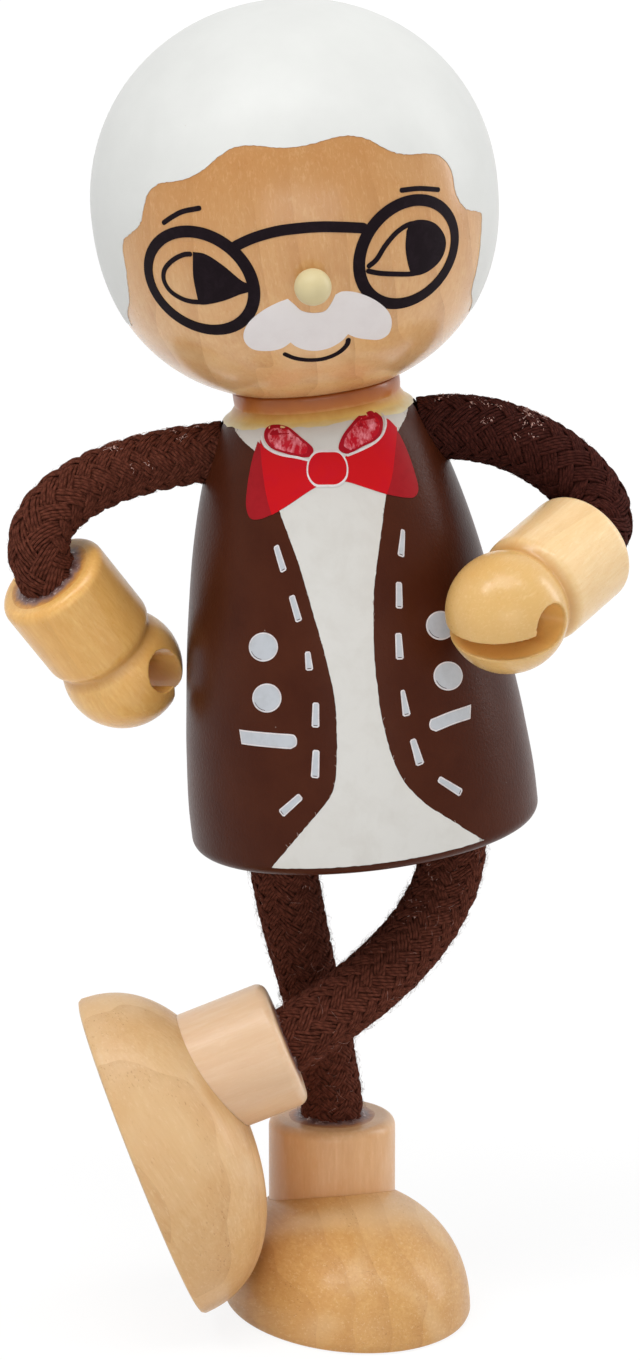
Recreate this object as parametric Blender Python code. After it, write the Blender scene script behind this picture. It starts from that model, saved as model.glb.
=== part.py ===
"""A bendy doll: a turned wooden body and head, wooden hands and feet, and four
limbs of braided cord over a bending wire.

Metres, +Z up.  The doll faces -Y and stands on its own right foot, with its left
foot crossed in front.  The origin is on the standing sole, below the ankle's axis.
Left and right in names are the doll's own.
"""
import math

import bmesh
import bpy
from mathutils import Matrix, Vector

# Fits
CLEARANCE = 0.0003
CUT_OVERRUN = 0.002

# Limb cords and the wire inside them
CORD_RADIUS = 0.00285
WIRE_RADIUS = 0.0006
BORE_MOUTH_RADIUS = 0.0018
WIRE_END_MARGIN = 0.0006
CORD_SIDES = 12
WIRE_POINT_SPACING = 0.0022

# Body
TORSO_HEIGHT = 0.0383
HEM_RADIUS = 0.0153
HEM_ROUNDING = 0.0012
TORSO_LEAN = math.radians(6.4)
TORSO_SIDES = 40
TORSO_PROFILE_SHARES = (
    (1.0, 0.070), (0.974, 0.230), (0.941, 0.345), (0.902, 0.467), (0.856, 0.580),
    (0.808, 0.682), (0.738, 0.796), (0.672, 0.880), (0.606, 0.946), (0.548, 0.984),
)
NECK_SEAT_RADIUS = 0.0075
HIP_HEIGHT = 0.0424
HIP_SIDE_OFFSET = 0.0030
HIP_DEPTH_OFFSET = 0.0010
LEG_SPREAD = 0.0077
LEG_SOCKET_DEPTH = 0.0080
SHOULDER_DROP = 0.0032
SHOULDER_REACH = 0.0097
ARM_SOCKET_DEPTH = 0.0050

# Neck
NECK_RING_RADIUS = 0.0072
NECK_RING_HEIGHT = 0.0015
DOWEL_RADIUS = 0.0030
DOWEL_DEPTH_IN_TORSO = 0.0110
DOWEL_DEPTH_IN_HEAD = 0.0080

# Head
HEAD_RADIUS = 0.01746
HEAD_CROWN_HEIGHT = 0.0170
HEAD_CHIN_DEPTH = 0.0171
HEAD_BASE_DROP = 0.0160
HEAD_SIDES = 40
HEAD_RINGS = 10
CROWN_ROUNDNESS = 2.05
CHIN_ROUNDNESS = 2.25
NOSE_RADIUS = 0.0016
NOSE_PEG_RADIUS = 0.0009
NOSE_PEG_LENGTH = 0.0030
NOSE_TURN = math.radians(3.4)
NOSE_DIP = math.radians(14.2)

# Hands: along the axis from the wrist face to the ball's tip
HAND_RADIUS = 0.00505
HAND_EDGE_ROUNDING = 0.0009
HAND_BARREL_LENGTH = 0.0083
GROOVE_RADIUS = 0.0045
GROOVE_PLACE = 0.0089
GROOVE_SHOULDER_SHARE = 0.965
BALL_RADIUS = 0.0053
BALL_PLACE = 0.0118
GRIP_HOLE_RADIUS = 0.0019
GRIP_HOLE_PLACE = 0.0122
GRIP_SLOT_WIDE = 0.0023
GRIP_SLOT_NARROW = 0.0010
HAND_SOCKET_DEPTH = 0.0060
HAND_SIDES = 28
BALL_STEPS = 8

# Feet
SHOE_LENGTH = 0.0297
SHOE_WIDTH = 0.0213
SHOE_HEIGHT = 0.0100
SHOE_ROUNDNESS = 2.25
SOLE_EDGE_ROUNDING = 0.0004
SHOE_SIDES = 36
SHOE_RINGS = 7
ANKLE_RADIUS = 0.00565
ANKLE_TOP = 0.0157
ANKLE_SEAT_HEIGHT = 0.0030
ANKLE_SETBACK = 0.0048
ANKLE_EDGE_ROUNDING = 0.0009
ANKLE_SOCKET_DEPTH = 0.0065
ANKLE_SIDES = 28

# Glue round the cords, in a shallow recess of the socket's mouth
GLUE_WIDTH = 0.0006
GLUE_HEIGHT = 0.0005

# Pose, as photographed; a wrist's place is measured from its shoulder's hole
STANDING_TURN = math.radians(15.2)
RIGHT_WRIST_REACH = Vector((-0.01400, -0.00365, -0.01026))
RIGHT_HAND_AXIS = Vector((0.523, 0.360, -0.773))
RIGHT_GRIP_AXIS = Vector((0.714, -0.680, 0.167))
LEFT_WRIST_REACH = Vector((0.01301, -0.00505, -0.00930))
LEFT_HAND_AXIS = Vector((-0.585, -0.739, -0.333))
LEFT_GRIP_AXIS = Vector((0.796, -0.601, -0.064))
FREE_ANKLE_TOP = Vector((-0.0040, -0.0100, 0.0256))
FREE_ANKLE_AXIS = Vector((-0.930, -0.070, -0.361))
FREE_TOE_AXIS = Vector((0.367, -0.103, -0.925))

# How far each cord runs on before it turns, at the body and at its far end, and
# how much it sags out of line with the socket there
RIGHT_ARM_PULLS = (0.0123, 0.0061)
LEFT_ARM_PULLS = (0.0094, 0.0076)
RIGHT_LEG_PULLS = (0.0100, 0.0070)
LEFT_LEG_PULLS = (0.0090, 0.0085)
RIGHT_ARM_SAG_SHARE = 0.12
LEFT_ARM_SAG_SHARE = -0.17
LEFT_LEG_SAG_SHARE = 0.2

# Where each limb bends, as shares of its free length
ARM_JOINT_SHARES = (0.19, 0.40, 0.61, 0.82)
LEG_JOINT_SHARES = (0.16, 0.37, 0.59, 0.81)

BALL_RINGS = 3
SOCKET_RINGS = 2

UP = Vector((0.0, 0.0, 1.0))
FORWARD = Vector((0.0, -1.0, 0.0))

SOCKET_RADIUS = CORD_RADIUS + CLEARANCE
BORE_RADIUS = WIRE_RADIUS + CLEARANCE
DOWEL_HOLE_RADIUS = DOWEL_RADIUS + CLEARANCE
HEAD_CENTRE_HEIGHT = TORSO_HEIGHT + NECK_RING_HEIGHT + CLEARANCE * 2 + HEAD_BASE_DROP

COLOURS = {
    "jacket_paint": ((0.060, 0.022, 0.014), 0.32, 0.0),
    "cord_braid": ((0.042, 0.016, 0.010), 0.95, 0.0),
    "lacquered_wood": ((0.730, 0.440, 0.160), 0.35, 0.0),
    "ankle_wood": ((0.760, 0.470, 0.260), 0.40, 0.0),
    "face_wood": ((0.720, 0.400, 0.180), 0.40, 0.0),
    "cream_paint": ((0.760, 0.640, 0.360), 0.35, 0.0),
    "clear_glue": ((0.280, 0.220, 0.210), 0.30, 0.0),
    "steel_wire": ((0.560, 0.560, 0.580), 0.35, 1.0),
    "birch": ((0.700, 0.520, 0.320), 0.60, 0.0),
}


def clear_scene():
    """Start from an empty scene."""
    for item in list(bpy.data.objects):
        bpy.data.objects.remove(item, do_unlink=True)


def material(name):
    """The plain finish of that name, made once."""
    found = bpy.data.materials.get(name)
    if found:
        return found
    colour, roughness, metallic = COLOURS[name]
    made = bpy.data.materials.new(name)
    made.use_nodes = True
    shader = made.node_tree.nodes["Principled BSDF"]
    shader.inputs["Base Color"].default_value = (*colour, 1.0)
    shader.inputs["Roughness"].default_value = roughness
    shader.inputs["Metallic"].default_value = metallic
    return made


def empty(name, place, parent=None):
    """A body's pivot, at a place in world coordinates, never turned."""
    pivot = bpy.data.objects.new(name, None)
    bpy.context.collection.objects.link(pivot)
    pivot["place"] = place
    base = Vector(parent["place"]) if parent else Vector()
    pivot.parent = parent
    pivot.location = place - base
    return pivot


def mesh_object(name, bm, finish, pivot, frame=None):
    """One named piece from a bmesh, held by a body's pivot.

    frame is the piece's own placement in the world; without one the mesh is
    already in world coordinates.
    """
    mesh = bpy.data.meshes.new(name)
    bmesh.ops.recalc_face_normals(bm, faces=bm.faces)
    base = Vector(pivot["place"])
    if frame is None:
        bmesh.ops.translate(bm, verts=bm.verts, vec=-base)
    bm.to_mesh(mesh)
    bm.free()
    mesh.shade_smooth()
    mesh.set_sharp_from_angle(angle=math.radians(40.0))
    mesh.materials.append(material(finish))
    piece = bpy.data.objects.new(name, mesh)
    bpy.context.collection.objects.link(piece)
    piece.parent = pivot
    if frame is not None:
        piece.matrix_local = Matrix.Translation(-base) @ frame
    return piece


def skin(rings, closed=False):
    """A bmesh through rings of points; a ring of one point is a pole."""
    bm = bmesh.new()
    rows = [[bm.verts.new(point) for point in ring] for ring in rings]
    pairs = list(zip(rows, rows[1:]))
    if closed:
        pairs.append((rows[-1], rows[0]))
    for low, high in pairs:
        count = max(len(low), len(high))
        for i in range(count):
            j = (i + 1) % count
            corners = []
            for corner in (low[i % len(low)], low[j % len(low)],
                           high[j % len(high)], high[i % len(high)]):
                if corner not in corners:
                    corners.append(corner)
            bm.faces.new(corners)
    return bm


def turned(profile, sides, closed=False, scale_x=1.0, scale_y=1.0):
    """A turned solid from (radius, height) pairs, about its own Z axis."""
    rings = []
    for radius, height in profile:
        if radius == 0:
            rings.append([Vector((0.0, 0.0, height))])
            continue
        ring = []
        for i in range(sides):
            angle = math.tau * (i + 0.5) / sides
            ring.append(Vector((radius * scale_x * math.cos(angle),
                                radius * scale_y * math.sin(angle), height)))
        rings.append(ring)
    return skin(rings, closed)


def rounded_edge(radius, height, rounding, steps=2, upward=True):
    """Profile points of a rounded rim, from the wall to the end face."""
    points = []
    for i in range(steps + 1):
        angle = math.pi / 2 * i / steps
        out = radius - rounding + rounding * math.cos(angle)
        rise = rounding * (1.0 - math.sin(angle))
        points.append((out, height - rise if upward else height + rise))
    return points


def frame_along(place, axis, side):
    """A placement whose Z lies along axis and whose X leans to side."""
    z = axis.normalized()
    x = (side - z * side.dot(z)).normalized()
    y = z.cross(x)
    rotation = Matrix((x, y, z)).transposed().to_4x4()
    return Matrix.Translation(place) @ rotation


def cutter(name, bm, pivot, frame):
    """A hidden solid that only cuts."""
    piece = mesh_object(name, bm, "birch", pivot, frame)
    piece.hide_render = True
    piece.display_type = "WIRE"
    return piece


def cut(piece, tools):
    """Boolean differences, one for each cutter."""
    for tool in tools:
        step = piece.modifiers.new(tool.name, "BOOLEAN")
        step.operation = "DIFFERENCE"
        step.solver = "EXACT"
        step.object = tool


class Route:
    """The centre line of one limb, sampled by length.

    The free cord is one cubic curve from the body's face to the socket's mouth,
    and it runs straight into the wood at both ends.
    """

    SAMPLES = 240

    def __init__(self, start, start_axis, start_depth, end, end_axis, end_depth,
                 pulls, sag_share=0.0):
        start_axis = start_axis.normalized()
        end_axis = end_axis.normalized()
        approach = (end_axis - UP * sag_share).normalized()
        inner = start + start_axis * pulls[0]
        outer = end - approach * pulls[1]
        points = [start - start_axis * start_depth]
        for i in range(self.SAMPLES + 1):
            t = i / self.SAMPLES
            s = 1.0 - t
            points.append(start * s ** 3 + inner * 3 * s * s * t
                          + outer * 3 * s * t * t + end * t ** 3)
        points.append(end + end_axis * end_depth)
        self.points = points
        self.lengths = [0.0]
        for a, b in zip(points, points[1:]):
            self.lengths.append(self.lengths[-1] + (b - a).length)
        self.start_depth = start_depth
        self.end_depth = end_depth
        self.total = self.lengths[-1]
        self.free = self.total - start_depth - end_depth
        self._carry_sides(start_axis)

    def _carry_sides(self, start_axis):
        """Turn-free side directions along the curve."""
        side = UP.cross(start_axis)
        if side.length < 0.5:
            side = FORWARD.cross(start_axis)
        side.normalize()
        self.sides = []
        for i in range(len(self.points)):
            low = self.points[max(i - 1, 0)]
            high = self.points[min(i + 1, len(self.points) - 1)]
            tangent = (high - low).normalized()
            side = (side - tangent * side.dot(tangent)).normalized()
            self.sides.append((tangent, side))

    def at(self, length):
        """Point, tangent and side direction at a length from the inner end."""
        length = min(max(length, 0.0), self.total)
        i = 1
        while i < len(self.lengths) - 1 and self.lengths[i] < length:
            i += 1
        span = self.lengths[i] - self.lengths[i - 1]
        share = (length - self.lengths[i - 1]) / span
        point = self.points[i - 1].lerp(self.points[i], share)
        tangent = self.sides[i - 1][0].lerp(self.sides[i][0], share).normalized()
        side = self.sides[i - 1][1].lerp(self.sides[i][1], share)
        side = (side - tangent * side.dot(tangent)).normalized()
        return point, tangent, side

    def joint_length(self, share):
        """Length from the inner end to a bend at a share of the free cord."""
        return self.start_depth + self.free * share

    def ring(self, length, ahead, radius, sides):
        """A ring square to the cord, some way ahead along its tangent there."""
        point, tangent, side = self.at(length)
        other = tangent.cross(side)
        centre = point + tangent * ahead
        ring = []
        for i in range(sides):
            angle = math.tau * i / sides
            ring.append(centre + side * radius * math.cos(angle)
                        + other * radius * math.sin(angle))
        return ring


def cord_piece(name, route, low, high, low_end, high_end, pivot):
    """One stiff length of sleeve, with the wire's bore through it.

    low_end is "flat", or "ball" for a round end about the bend at low; high_end
    is "flat", or "socket" for a hollow end about the bend at high.  The bore opens
    wider at a ball and at a socket, where the wire bends.
    """
    rings = []
    if low_end == "ball":
        first = math.asin(BORE_MOUTH_RADIUS / CORD_RADIUS)
        for i in range(BALL_RINGS):
            angle = first + (math.pi / 2 - first) * i / BALL_RINGS
            rings.append(route.ring(low, -CORD_RADIUS * math.cos(angle),
                                    CORD_RADIUS * math.sin(angle), CORD_SIDES))
        bore_start = CORD_RADIUS * math.cos(first)
    else:
        rings.append(route.ring(low, 0.0, BORE_RADIUS, CORD_SIDES))
        bore_start = 0.0
    rim = math.sqrt(SOCKET_RADIUS ** 2 - CORD_RADIUS ** 2)
    wall_end = high - rim if high_end == "socket" else high
    steps = max(1, round((wall_end - low) / (CORD_RADIUS / 2)))
    stations = [low + (wall_end - low) * i / steps for i in range(steps + 1)]
    for station in stations[:-1]:
        rings.append(route.ring(station, 0.0, CORD_RADIUS, CORD_SIDES))
    if high_end == "socket":
        widest = math.asin(CORD_RADIUS / SOCKET_RADIUS)
        narrowest = math.asin(BORE_MOUTH_RADIUS / SOCKET_RADIUS)
        for i in range(SOCKET_RINGS + 1):
            angle = widest + (narrowest - widest) * i / SOCKET_RINGS
            rings.append(route.ring(high, -SOCKET_RADIUS * math.cos(angle),
                                    SOCKET_RADIUS * math.sin(angle), CORD_SIDES))
        bore_end = high - SOCKET_RADIUS * math.cos(narrowest)
    else:
        rings.append(route.ring(high, 0.0, CORD_RADIUS, CORD_SIDES))
        rings.append(route.ring(high, 0.0, BORE_RADIUS, CORD_SIDES))
        bore_end = high
    inner = [s for s in reversed(stations)
             if low - bore_start / 2 < s < bore_end - CORD_RADIUS / 4]
    for station in inner:
        if low_end == "flat" and station == low:
            continue
        rings.append(route.ring(station, 0.0, BORE_RADIUS, CORD_SIDES))
    return mesh_object(name, skin(rings, closed=True), "cord_braid", pivot)


def wire(name, route, pivot):
    """The bending wire, one length from wood to wood."""
    low = WIRE_END_MARGIN
    high = route.total - WIRE_END_MARGIN
    steps = round((high - low) / WIRE_POINT_SPACING)
    curve = bpy.data.curves.new(name, "CURVE")
    curve.dimensions = "3D"
    curve.bevel_depth = WIRE_RADIUS
    curve.bevel_resolution = 2
    curve.use_fill_caps = True
    spline = curve.splines.new("POLY")
    spline.points.add(steps)
    base = Vector(pivot["place"])
    for i in range(steps + 1):
        point = route.at(low + (high - low) * i / steps)[0] - base
        spline.points[i].co = (*point, 1.0)
    curve.materials.append(material("steel_wire"))
    piece = bpy.data.objects.new(name, curve)
    bpy.context.collection.objects.link(piece)
    piece.parent = pivot
    return piece


def torso_frame():
    """The torso's own placement: hem centre, leaning to the doll's right."""
    lean = Matrix.Rotation(-TORSO_LEAN, 4, "Y")
    place = Vector((HIP_SIDE_OFFSET, -HIP_DEPTH_OFFSET, HIP_HEIGHT))
    return Matrix.Translation(place) @ lean


def direction(frame, vector):
    """A vector of a frame, in the world."""
    return (frame.to_3x3() @ Vector(vector)).normalized()


def shoulder(side):
    """Where a cord leaves its arm hole; side is -1 for the right arm."""
    height = TORSO_HEIGHT - SHOULDER_DROP
    return torso_frame() @ Vector((side * SHOULDER_REACH, 0.0, height))


def arm_route(side, wrist, hand_axis, pulls, sag_share=0.0):
    """A limb from the shoulder's hole to the hand."""
    out = direction(torso_frame(), (side, 0.0, 0.0))
    return Route(shoulder(side), out, ARM_SOCKET_DEPTH, wrist, hand_axis, HAND_SOCKET_DEPTH,
                 pulls, sag_share)


def leg_route(side, ankle_top, ankle_axis, pulls, sag_share=0.0):
    """A limb from the hole under the body to the ankle."""
    frame = torso_frame()
    face = frame @ Vector((side * LEG_SPREAD, 0.0, 0.0))
    down = direction(frame, (0.0, 0.0, -1.0))
    return Route(face, down, LEG_SOCKET_DEPTH, ankle_top, ankle_axis, ANKLE_SOCKET_DEPTH,
                 pulls, sag_share)


def limb_routes():
    """The four limbs' centre lines."""
    standing_top = Vector((0.0, 0.0, ANKLE_TOP))
    right_wrist = shoulder(-1) + RIGHT_WRIST_REACH
    left_wrist = shoulder(1) + LEFT_WRIST_REACH
    return {
        "right_arm": arm_route(-1, right_wrist, RIGHT_HAND_AXIS, RIGHT_ARM_PULLS,
                               RIGHT_ARM_SAG_SHARE),
        "left_arm": arm_route(1, left_wrist, LEFT_HAND_AXIS, LEFT_ARM_PULLS,
                              LEFT_ARM_SAG_SHARE),
        "right_leg": leg_route(-1, standing_top, -UP, RIGHT_LEG_PULLS),
        "left_leg": leg_route(1, FREE_ANKLE_TOP, FREE_ANKLE_AXIS, LEFT_LEG_PULLS,
                              LEFT_LEG_SAG_SHARE),
    }


def neck_hole():
    """Profile of the blind hole for the dowel, from the rim to the bottom."""
    depth = DOWEL_DEPTH_IN_TORSO + CLEARANCE
    return [(DOWEL_HOLE_RADIUS, TORSO_HEIGHT), (DOWEL_HOLE_RADIUS, TORSO_HEIGHT - depth),
            (0.0, TORSO_HEIGHT - depth)]


def make_torso(pivot):
    """The turned body, drilled for the neck, the arms and the legs."""
    frame = torso_frame()
    profile = [(0.0, 0.0)]
    profile += reversed(rounded_edge(HEM_RADIUS, 0.0, HEM_ROUNDING, upward=False))
    profile += [(HEM_RADIUS * r, TORSO_HEIGHT * h) for r, h in TORSO_PROFILE_SHARES]
    profile.append((NECK_SEAT_RADIUS, TORSO_HEIGHT))
    profile += neck_hole()
    piece = mesh_object("torso", turned(profile, TORSO_SIDES), "jacket_paint", pivot, frame)
    tools = []
    for side, label in ((-1, "right"), (1, "left")):
        length = ARM_SOCKET_DEPTH + CLEARANCE + CUT_OVERRUN
        drill = turned([(0.0, 0.0), (SOCKET_RADIUS, 0.0), (SOCKET_RADIUS, length + CORD_RADIUS),
                        (0.0, length + CORD_RADIUS)], HAND_SIDES)
        reach = SHOULDER_REACH - ARM_SOCKET_DEPTH - CLEARANCE
        start = frame @ Vector((side * reach, 0.0, TORSO_HEIGHT - SHOULDER_DROP))
        out = direction(frame, (side, 0.0, 0.0))
        tools.append(cutter(f"{label}_arm_drill", drill, pivot,
                            frame_along(start, out, FORWARD)))
        length = LEG_SOCKET_DEPTH + CLEARANCE
        drill = turned([(0.0, -CUT_OVERRUN), (SOCKET_RADIUS, -CUT_OVERRUN),
                        (SOCKET_RADIUS, length), (0.0, length)], HAND_SIDES)
        start = frame @ Vector((side * LEG_SPREAD, 0.0, 0.0))
        tools.append(cutter(f"{label}_leg_drill", drill, pivot,
                            frame_along(start, direction(frame, UP), FORWARD)))
    cut(piece, tools)
    return piece


def head_profile():
    """The head's outline, from the crown down to the seat of the neck ring."""
    points = [(0.0, HEAD_CROWN_HEIGHT)]
    for i in range(1, HEAD_RINGS):
        angle = math.pi / 2 * i / HEAD_RINGS
        points.append((HEAD_RADIUS * math.sin(angle) ** (2 / CROWN_ROUNDNESS),
                       HEAD_CROWN_HEIGHT * math.cos(angle) ** (2 / CROWN_ROUNDNESS)))
    points.append((HEAD_RADIUS, 0.0))
    lowest = math.asin((HEAD_BASE_DROP / HEAD_CHIN_DEPTH) ** (CHIN_ROUNDNESS / 2))
    for i in range(1, HEAD_RINGS):
        angle = lowest * i / (HEAD_RINGS - 1)
        points.append((HEAD_RADIUS * math.cos(angle) ** (2 / CHIN_ROUNDNESS),
                       -HEAD_CHIN_DEPTH * math.sin(angle) ** (2 / CHIN_ROUNDNESS)))
    return points


def nose_frame():
    """The nose's peg: out of the face, a little turned and dipped."""
    frame = torso_frame() @ Matrix.Translation((0.0, 0.0, HEAD_CENTRE_HEIGHT))
    out = Vector((math.sin(NOSE_TURN) * math.cos(NOSE_DIP),
                  -math.cos(NOSE_TURN) * math.cos(NOSE_DIP), -math.sin(NOSE_DIP)))
    along = math.sin(NOSE_DIP) / HEAD_CHIN_DEPTH
    across = math.cos(NOSE_DIP) / HEAD_RADIUS
    reach = (along ** CHIN_ROUNDNESS + across ** CHIN_ROUNDNESS) ** (-1 / CHIN_ROUNDNESS)
    return frame_along(frame @ (out * reach), direction(frame, out), UP)


def make_head(pivot):
    """The ball head with its dowel hole, and the nose on its peg."""
    frame = torso_frame() @ Matrix.Translation((0.0, 0.0, HEAD_CENTRE_HEIGHT))
    top = DOWEL_DEPTH_IN_HEAD + CLEARANCE - HEAD_BASE_DROP
    profile = head_profile()
    profile += [(DOWEL_HOLE_RADIUS, -HEAD_BASE_DROP), (DOWEL_HOLE_RADIUS, top), (0.0, top)]
    head = mesh_object("head", turned(profile, HEAD_SIDES), "face_wood", pivot, frame)
    seat = nose_frame()
    drill_radius = NOSE_PEG_RADIUS + CLEARANCE
    depth = NOSE_PEG_LENGTH + CLEARANCE
    drill = turned([(0.0, -depth), (drill_radius, -depth), (drill_radius, CUT_OVERRUN),
                    (0.0, CUT_OVERRUN)], CORD_SIDES)
    cut(head, [cutter("nose_drill", drill, pivot, seat)])
    lowest = math.asin(NOSE_PEG_RADIUS / NOSE_RADIUS)
    centre = CLEARANCE + NOSE_RADIUS * math.cos(lowest)
    ball = [(0.0, -NOSE_PEG_LENGTH), (NOSE_PEG_RADIUS, -NOSE_PEG_LENGTH)]
    for i in range(BALL_STEPS):
        angle = lowest + (math.pi - lowest) * i / BALL_STEPS
        ball.append((NOSE_RADIUS * math.sin(angle), centre - NOSE_RADIUS * math.cos(angle)))
    ball.append((0.0, centre + NOSE_RADIUS))
    mesh_object("nose", turned(ball, HAND_SIDES // 2), "cream_paint", pivot, seat)


def make_neck(pivot):
    """The cream ring between body and head, and the dowel through all three."""
    frame = torso_frame()
    low = TORSO_HEIGHT + CLEARANCE
    high = low + NECK_RING_HEIGHT
    rounding = NECK_RING_HEIGHT / 3
    ring = [(DOWEL_HOLE_RADIUS, low)]
    ring += reversed(rounded_edge(NECK_RING_RADIUS, low, rounding, upward=False))
    ring += rounded_edge(NECK_RING_RADIUS, high, rounding)
    ring.append((DOWEL_HOLE_RADIUS, high))
    mesh_object("neck_ring", turned(ring, ANKLE_SIDES, closed=True), "cream_paint", pivot, frame)
    bottom = TORSO_HEIGHT - DOWEL_DEPTH_IN_TORSO
    top = high + CLEARANCE + DOWEL_DEPTH_IN_HEAD
    rounding = DOWEL_RADIUS / 8
    dowel = [(0.0, bottom)]
    dowel += reversed(rounded_edge(DOWEL_RADIUS, bottom, rounding, upward=False))
    dowel += rounded_edge(DOWEL_RADIUS, top, rounding)
    dowel.append((0.0, top))
    mesh_object("neck_dowel", turned(dowel, CORD_SIDES), "birch", pivot, frame)


def mouth_profile(depth):
    """A socket's mouth and bore, from the end face inwards; the face is height 0."""
    recess = SOCKET_RADIUS + GLUE_WIDTH + CLEARANCE
    step = GLUE_HEIGHT + CLEARANCE
    bottom = depth + CLEARANCE
    return [(recess, 0.0), (recess, step), (SOCKET_RADIUS, step), (SOCKET_RADIUS, bottom),
            (0.0, bottom)]


def make_glue(name, pivot, frame):
    """The ring of glue in a socket's mouth, round the cord."""
    inner = SOCKET_RADIUS
    outer = SOCKET_RADIUS + GLUE_WIDTH
    loop = [(inner, 0.0), (inner, GLUE_HEIGHT), (outer, GLUE_HEIGHT), (outer, 0.0)]
    mesh_object(name, turned(loop, CORD_SIDES * 2, closed=True), "clear_glue", pivot, frame)


def grip_slot():
    """The saw cut from the grip hole out through the tip, wider at the hole's near end."""
    reach = BALL_RADIUS + CUT_OVERRUN
    low = GRIP_HOLE_PLACE
    high = BALL_PLACE + reach
    rings = []
    for side, width in ((-1, GRIP_SLOT_NARROW), (1, GRIP_SLOT_WIDE)):
        rings.append([Vector((side * reach, y, z)) for y, z in
                      ((0.0, low), (0.0, high), (-width, high), (-width, low))])
    bm = skin(rings)
    corners = list(bm.verts)
    half = len(corners) // 2
    bm.faces.new(corners[:half])
    bm.faces.new(corners[half:])
    return bm


def make_hand(name, wrist, axis, grip, pivot):
    """One turned hand: barrel, groove and ball, cut for its grip."""
    frame = frame_along(wrist, axis, grip)
    profile = list(reversed(mouth_profile(HAND_SOCKET_DEPTH)))
    profile += reversed(rounded_edge(HAND_RADIUS, 0.0, HAND_EDGE_ROUNDING, upward=False))
    profile.append((HAND_RADIUS, HAND_BARREL_LENGTH - HAND_EDGE_ROUNDING / 2))
    profile.append((HAND_RADIUS * GROOVE_SHOULDER_SHARE, HAND_BARREL_LENGTH))
    profile.append((GROOVE_RADIUS, GROOVE_PLACE))
    first = math.asin(GROOVE_RADIUS / BALL_RADIUS)
    for i in range(1, BALL_STEPS):
        angle = first + (math.pi - first) * i / BALL_STEPS
        profile.append((BALL_RADIUS * math.sin(angle),
                        BALL_PLACE - BALL_RADIUS * math.cos(angle)))
    profile.append((0.0, BALL_PLACE + BALL_RADIUS))
    piece = mesh_object(name, turned(profile, HAND_SIDES), "lacquered_wood", pivot, frame)
    reach = BALL_RADIUS + CUT_OVERRUN
    drill = turned([(0.0, -reach), (GRIP_HOLE_RADIUS, -reach), (GRIP_HOLE_RADIUS, reach),
                    (0.0, reach)], CORD_SIDES * 2)
    across = frame @ Matrix.Translation((0.0, 0.0, GRIP_HOLE_PLACE))
    across = across @ Matrix.Rotation(math.pi / 2, 4, "Y")
    cut(piece, [cutter(name + "_grip_drill", drill, pivot, across),
                cutter(name + "_slot_saw", grip_slot(), pivot, frame)])
    return frame


def make_foot(side, ankle_top, ankle_axis, toe, pivot):
    """One foot: the domed shoe, and the ankle let into a hole in it."""
    frame = frame_along(ankle_top, ankle_axis, toe)
    sole = frame @ Matrix.Translation((ANKLE_SETBACK, 0.0, ANKLE_TOP))
    sole = sole @ Matrix.Rotation(math.pi, 4, "X")
    edge = SOLE_EDGE_ROUNDING
    profile = [(0.0, 0.0), (1.0 - edge * 2 / SHOE_WIDTH, 0.0), (1.0, edge)]
    for i in range(1, SHOE_RINGS):
        angle = math.pi / 2 * i / SHOE_RINGS
        power = 2 / SHOE_ROUNDNESS
        profile.append((math.cos(angle) ** power, SHOE_HEIGHT * math.sin(angle) ** power))
    profile.append((0.0, SHOE_HEIGHT))
    dome = turned(profile, SHOE_SIDES, scale_x=SHOE_LENGTH / 2, scale_y=SHOE_WIDTH / 2)
    shoe = mesh_object(f"{side}_shoe", dome, "lacquered_wood", pivot, sole)
    drill_radius = ANKLE_RADIUS + CLEARANCE
    drill = turned([(0.0, ANKLE_SEAT_HEIGHT), (drill_radius, ANKLE_SEAT_HEIGHT),
                    (drill_radius, ANKLE_TOP), (0.0, ANKLE_TOP)], ANKLE_SIDES)
    upright = frame @ Matrix.Translation((0.0, 0.0, ANKLE_TOP)) @ Matrix.Rotation(math.pi, 4, "X")
    cut(shoe, [cutter(f"{side}_ankle_drill", drill, pivot, upright)])
    bottom = ANKLE_TOP - ANKLE_SEAT_HEIGHT - CLEARANCE
    profile = list(reversed(mouth_profile(ANKLE_SOCKET_DEPTH)))
    profile += reversed(rounded_edge(ANKLE_RADIUS, 0.0, ANKLE_EDGE_ROUNDING, upward=False))
    profile += [(ANKLE_RADIUS, bottom), (0.0, bottom)]
    mesh_object(f"{side}_ankle", turned(profile, ANKLE_SIDES), "ankle_wood", pivot, frame)
    make_glue(f"{side}_ankle_glue", pivot, frame)


LIMB_PARTS = {
    "arm": (ARM_JOINT_SHARES, ("shoulder_end", "upper", "elbow", "fore", "wrist_end")),
    "leg": (LEG_JOINT_SHARES, ("hip_end", "thigh", "knee", "shin", "ankle_end")),
}


def make_limb(name, route, root):
    """The limb's cord in stiff lengths, its wire, and a pivot at each bend."""
    shares, labels = LIMB_PARTS[name.split("_")[1]]
    bends = [route.joint_length(share) for share in shares]
    stops = [CLEARANCE, *bends, route.total]
    pivot = root
    for i, label in enumerate(labels):
        if i:
            pivot = empty(f"{name}_{label}_pivot", route.at(stops[i])[0], pivot)
        cord_piece(f"{name}_cord_{label}", route, stops[i], stops[i + 1],
                   "ball" if i else "flat",
                   "socket" if i < len(labels) - 1 else "flat", pivot)
    wire(f"{name}_wire", route, root)
    return pivot


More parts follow.
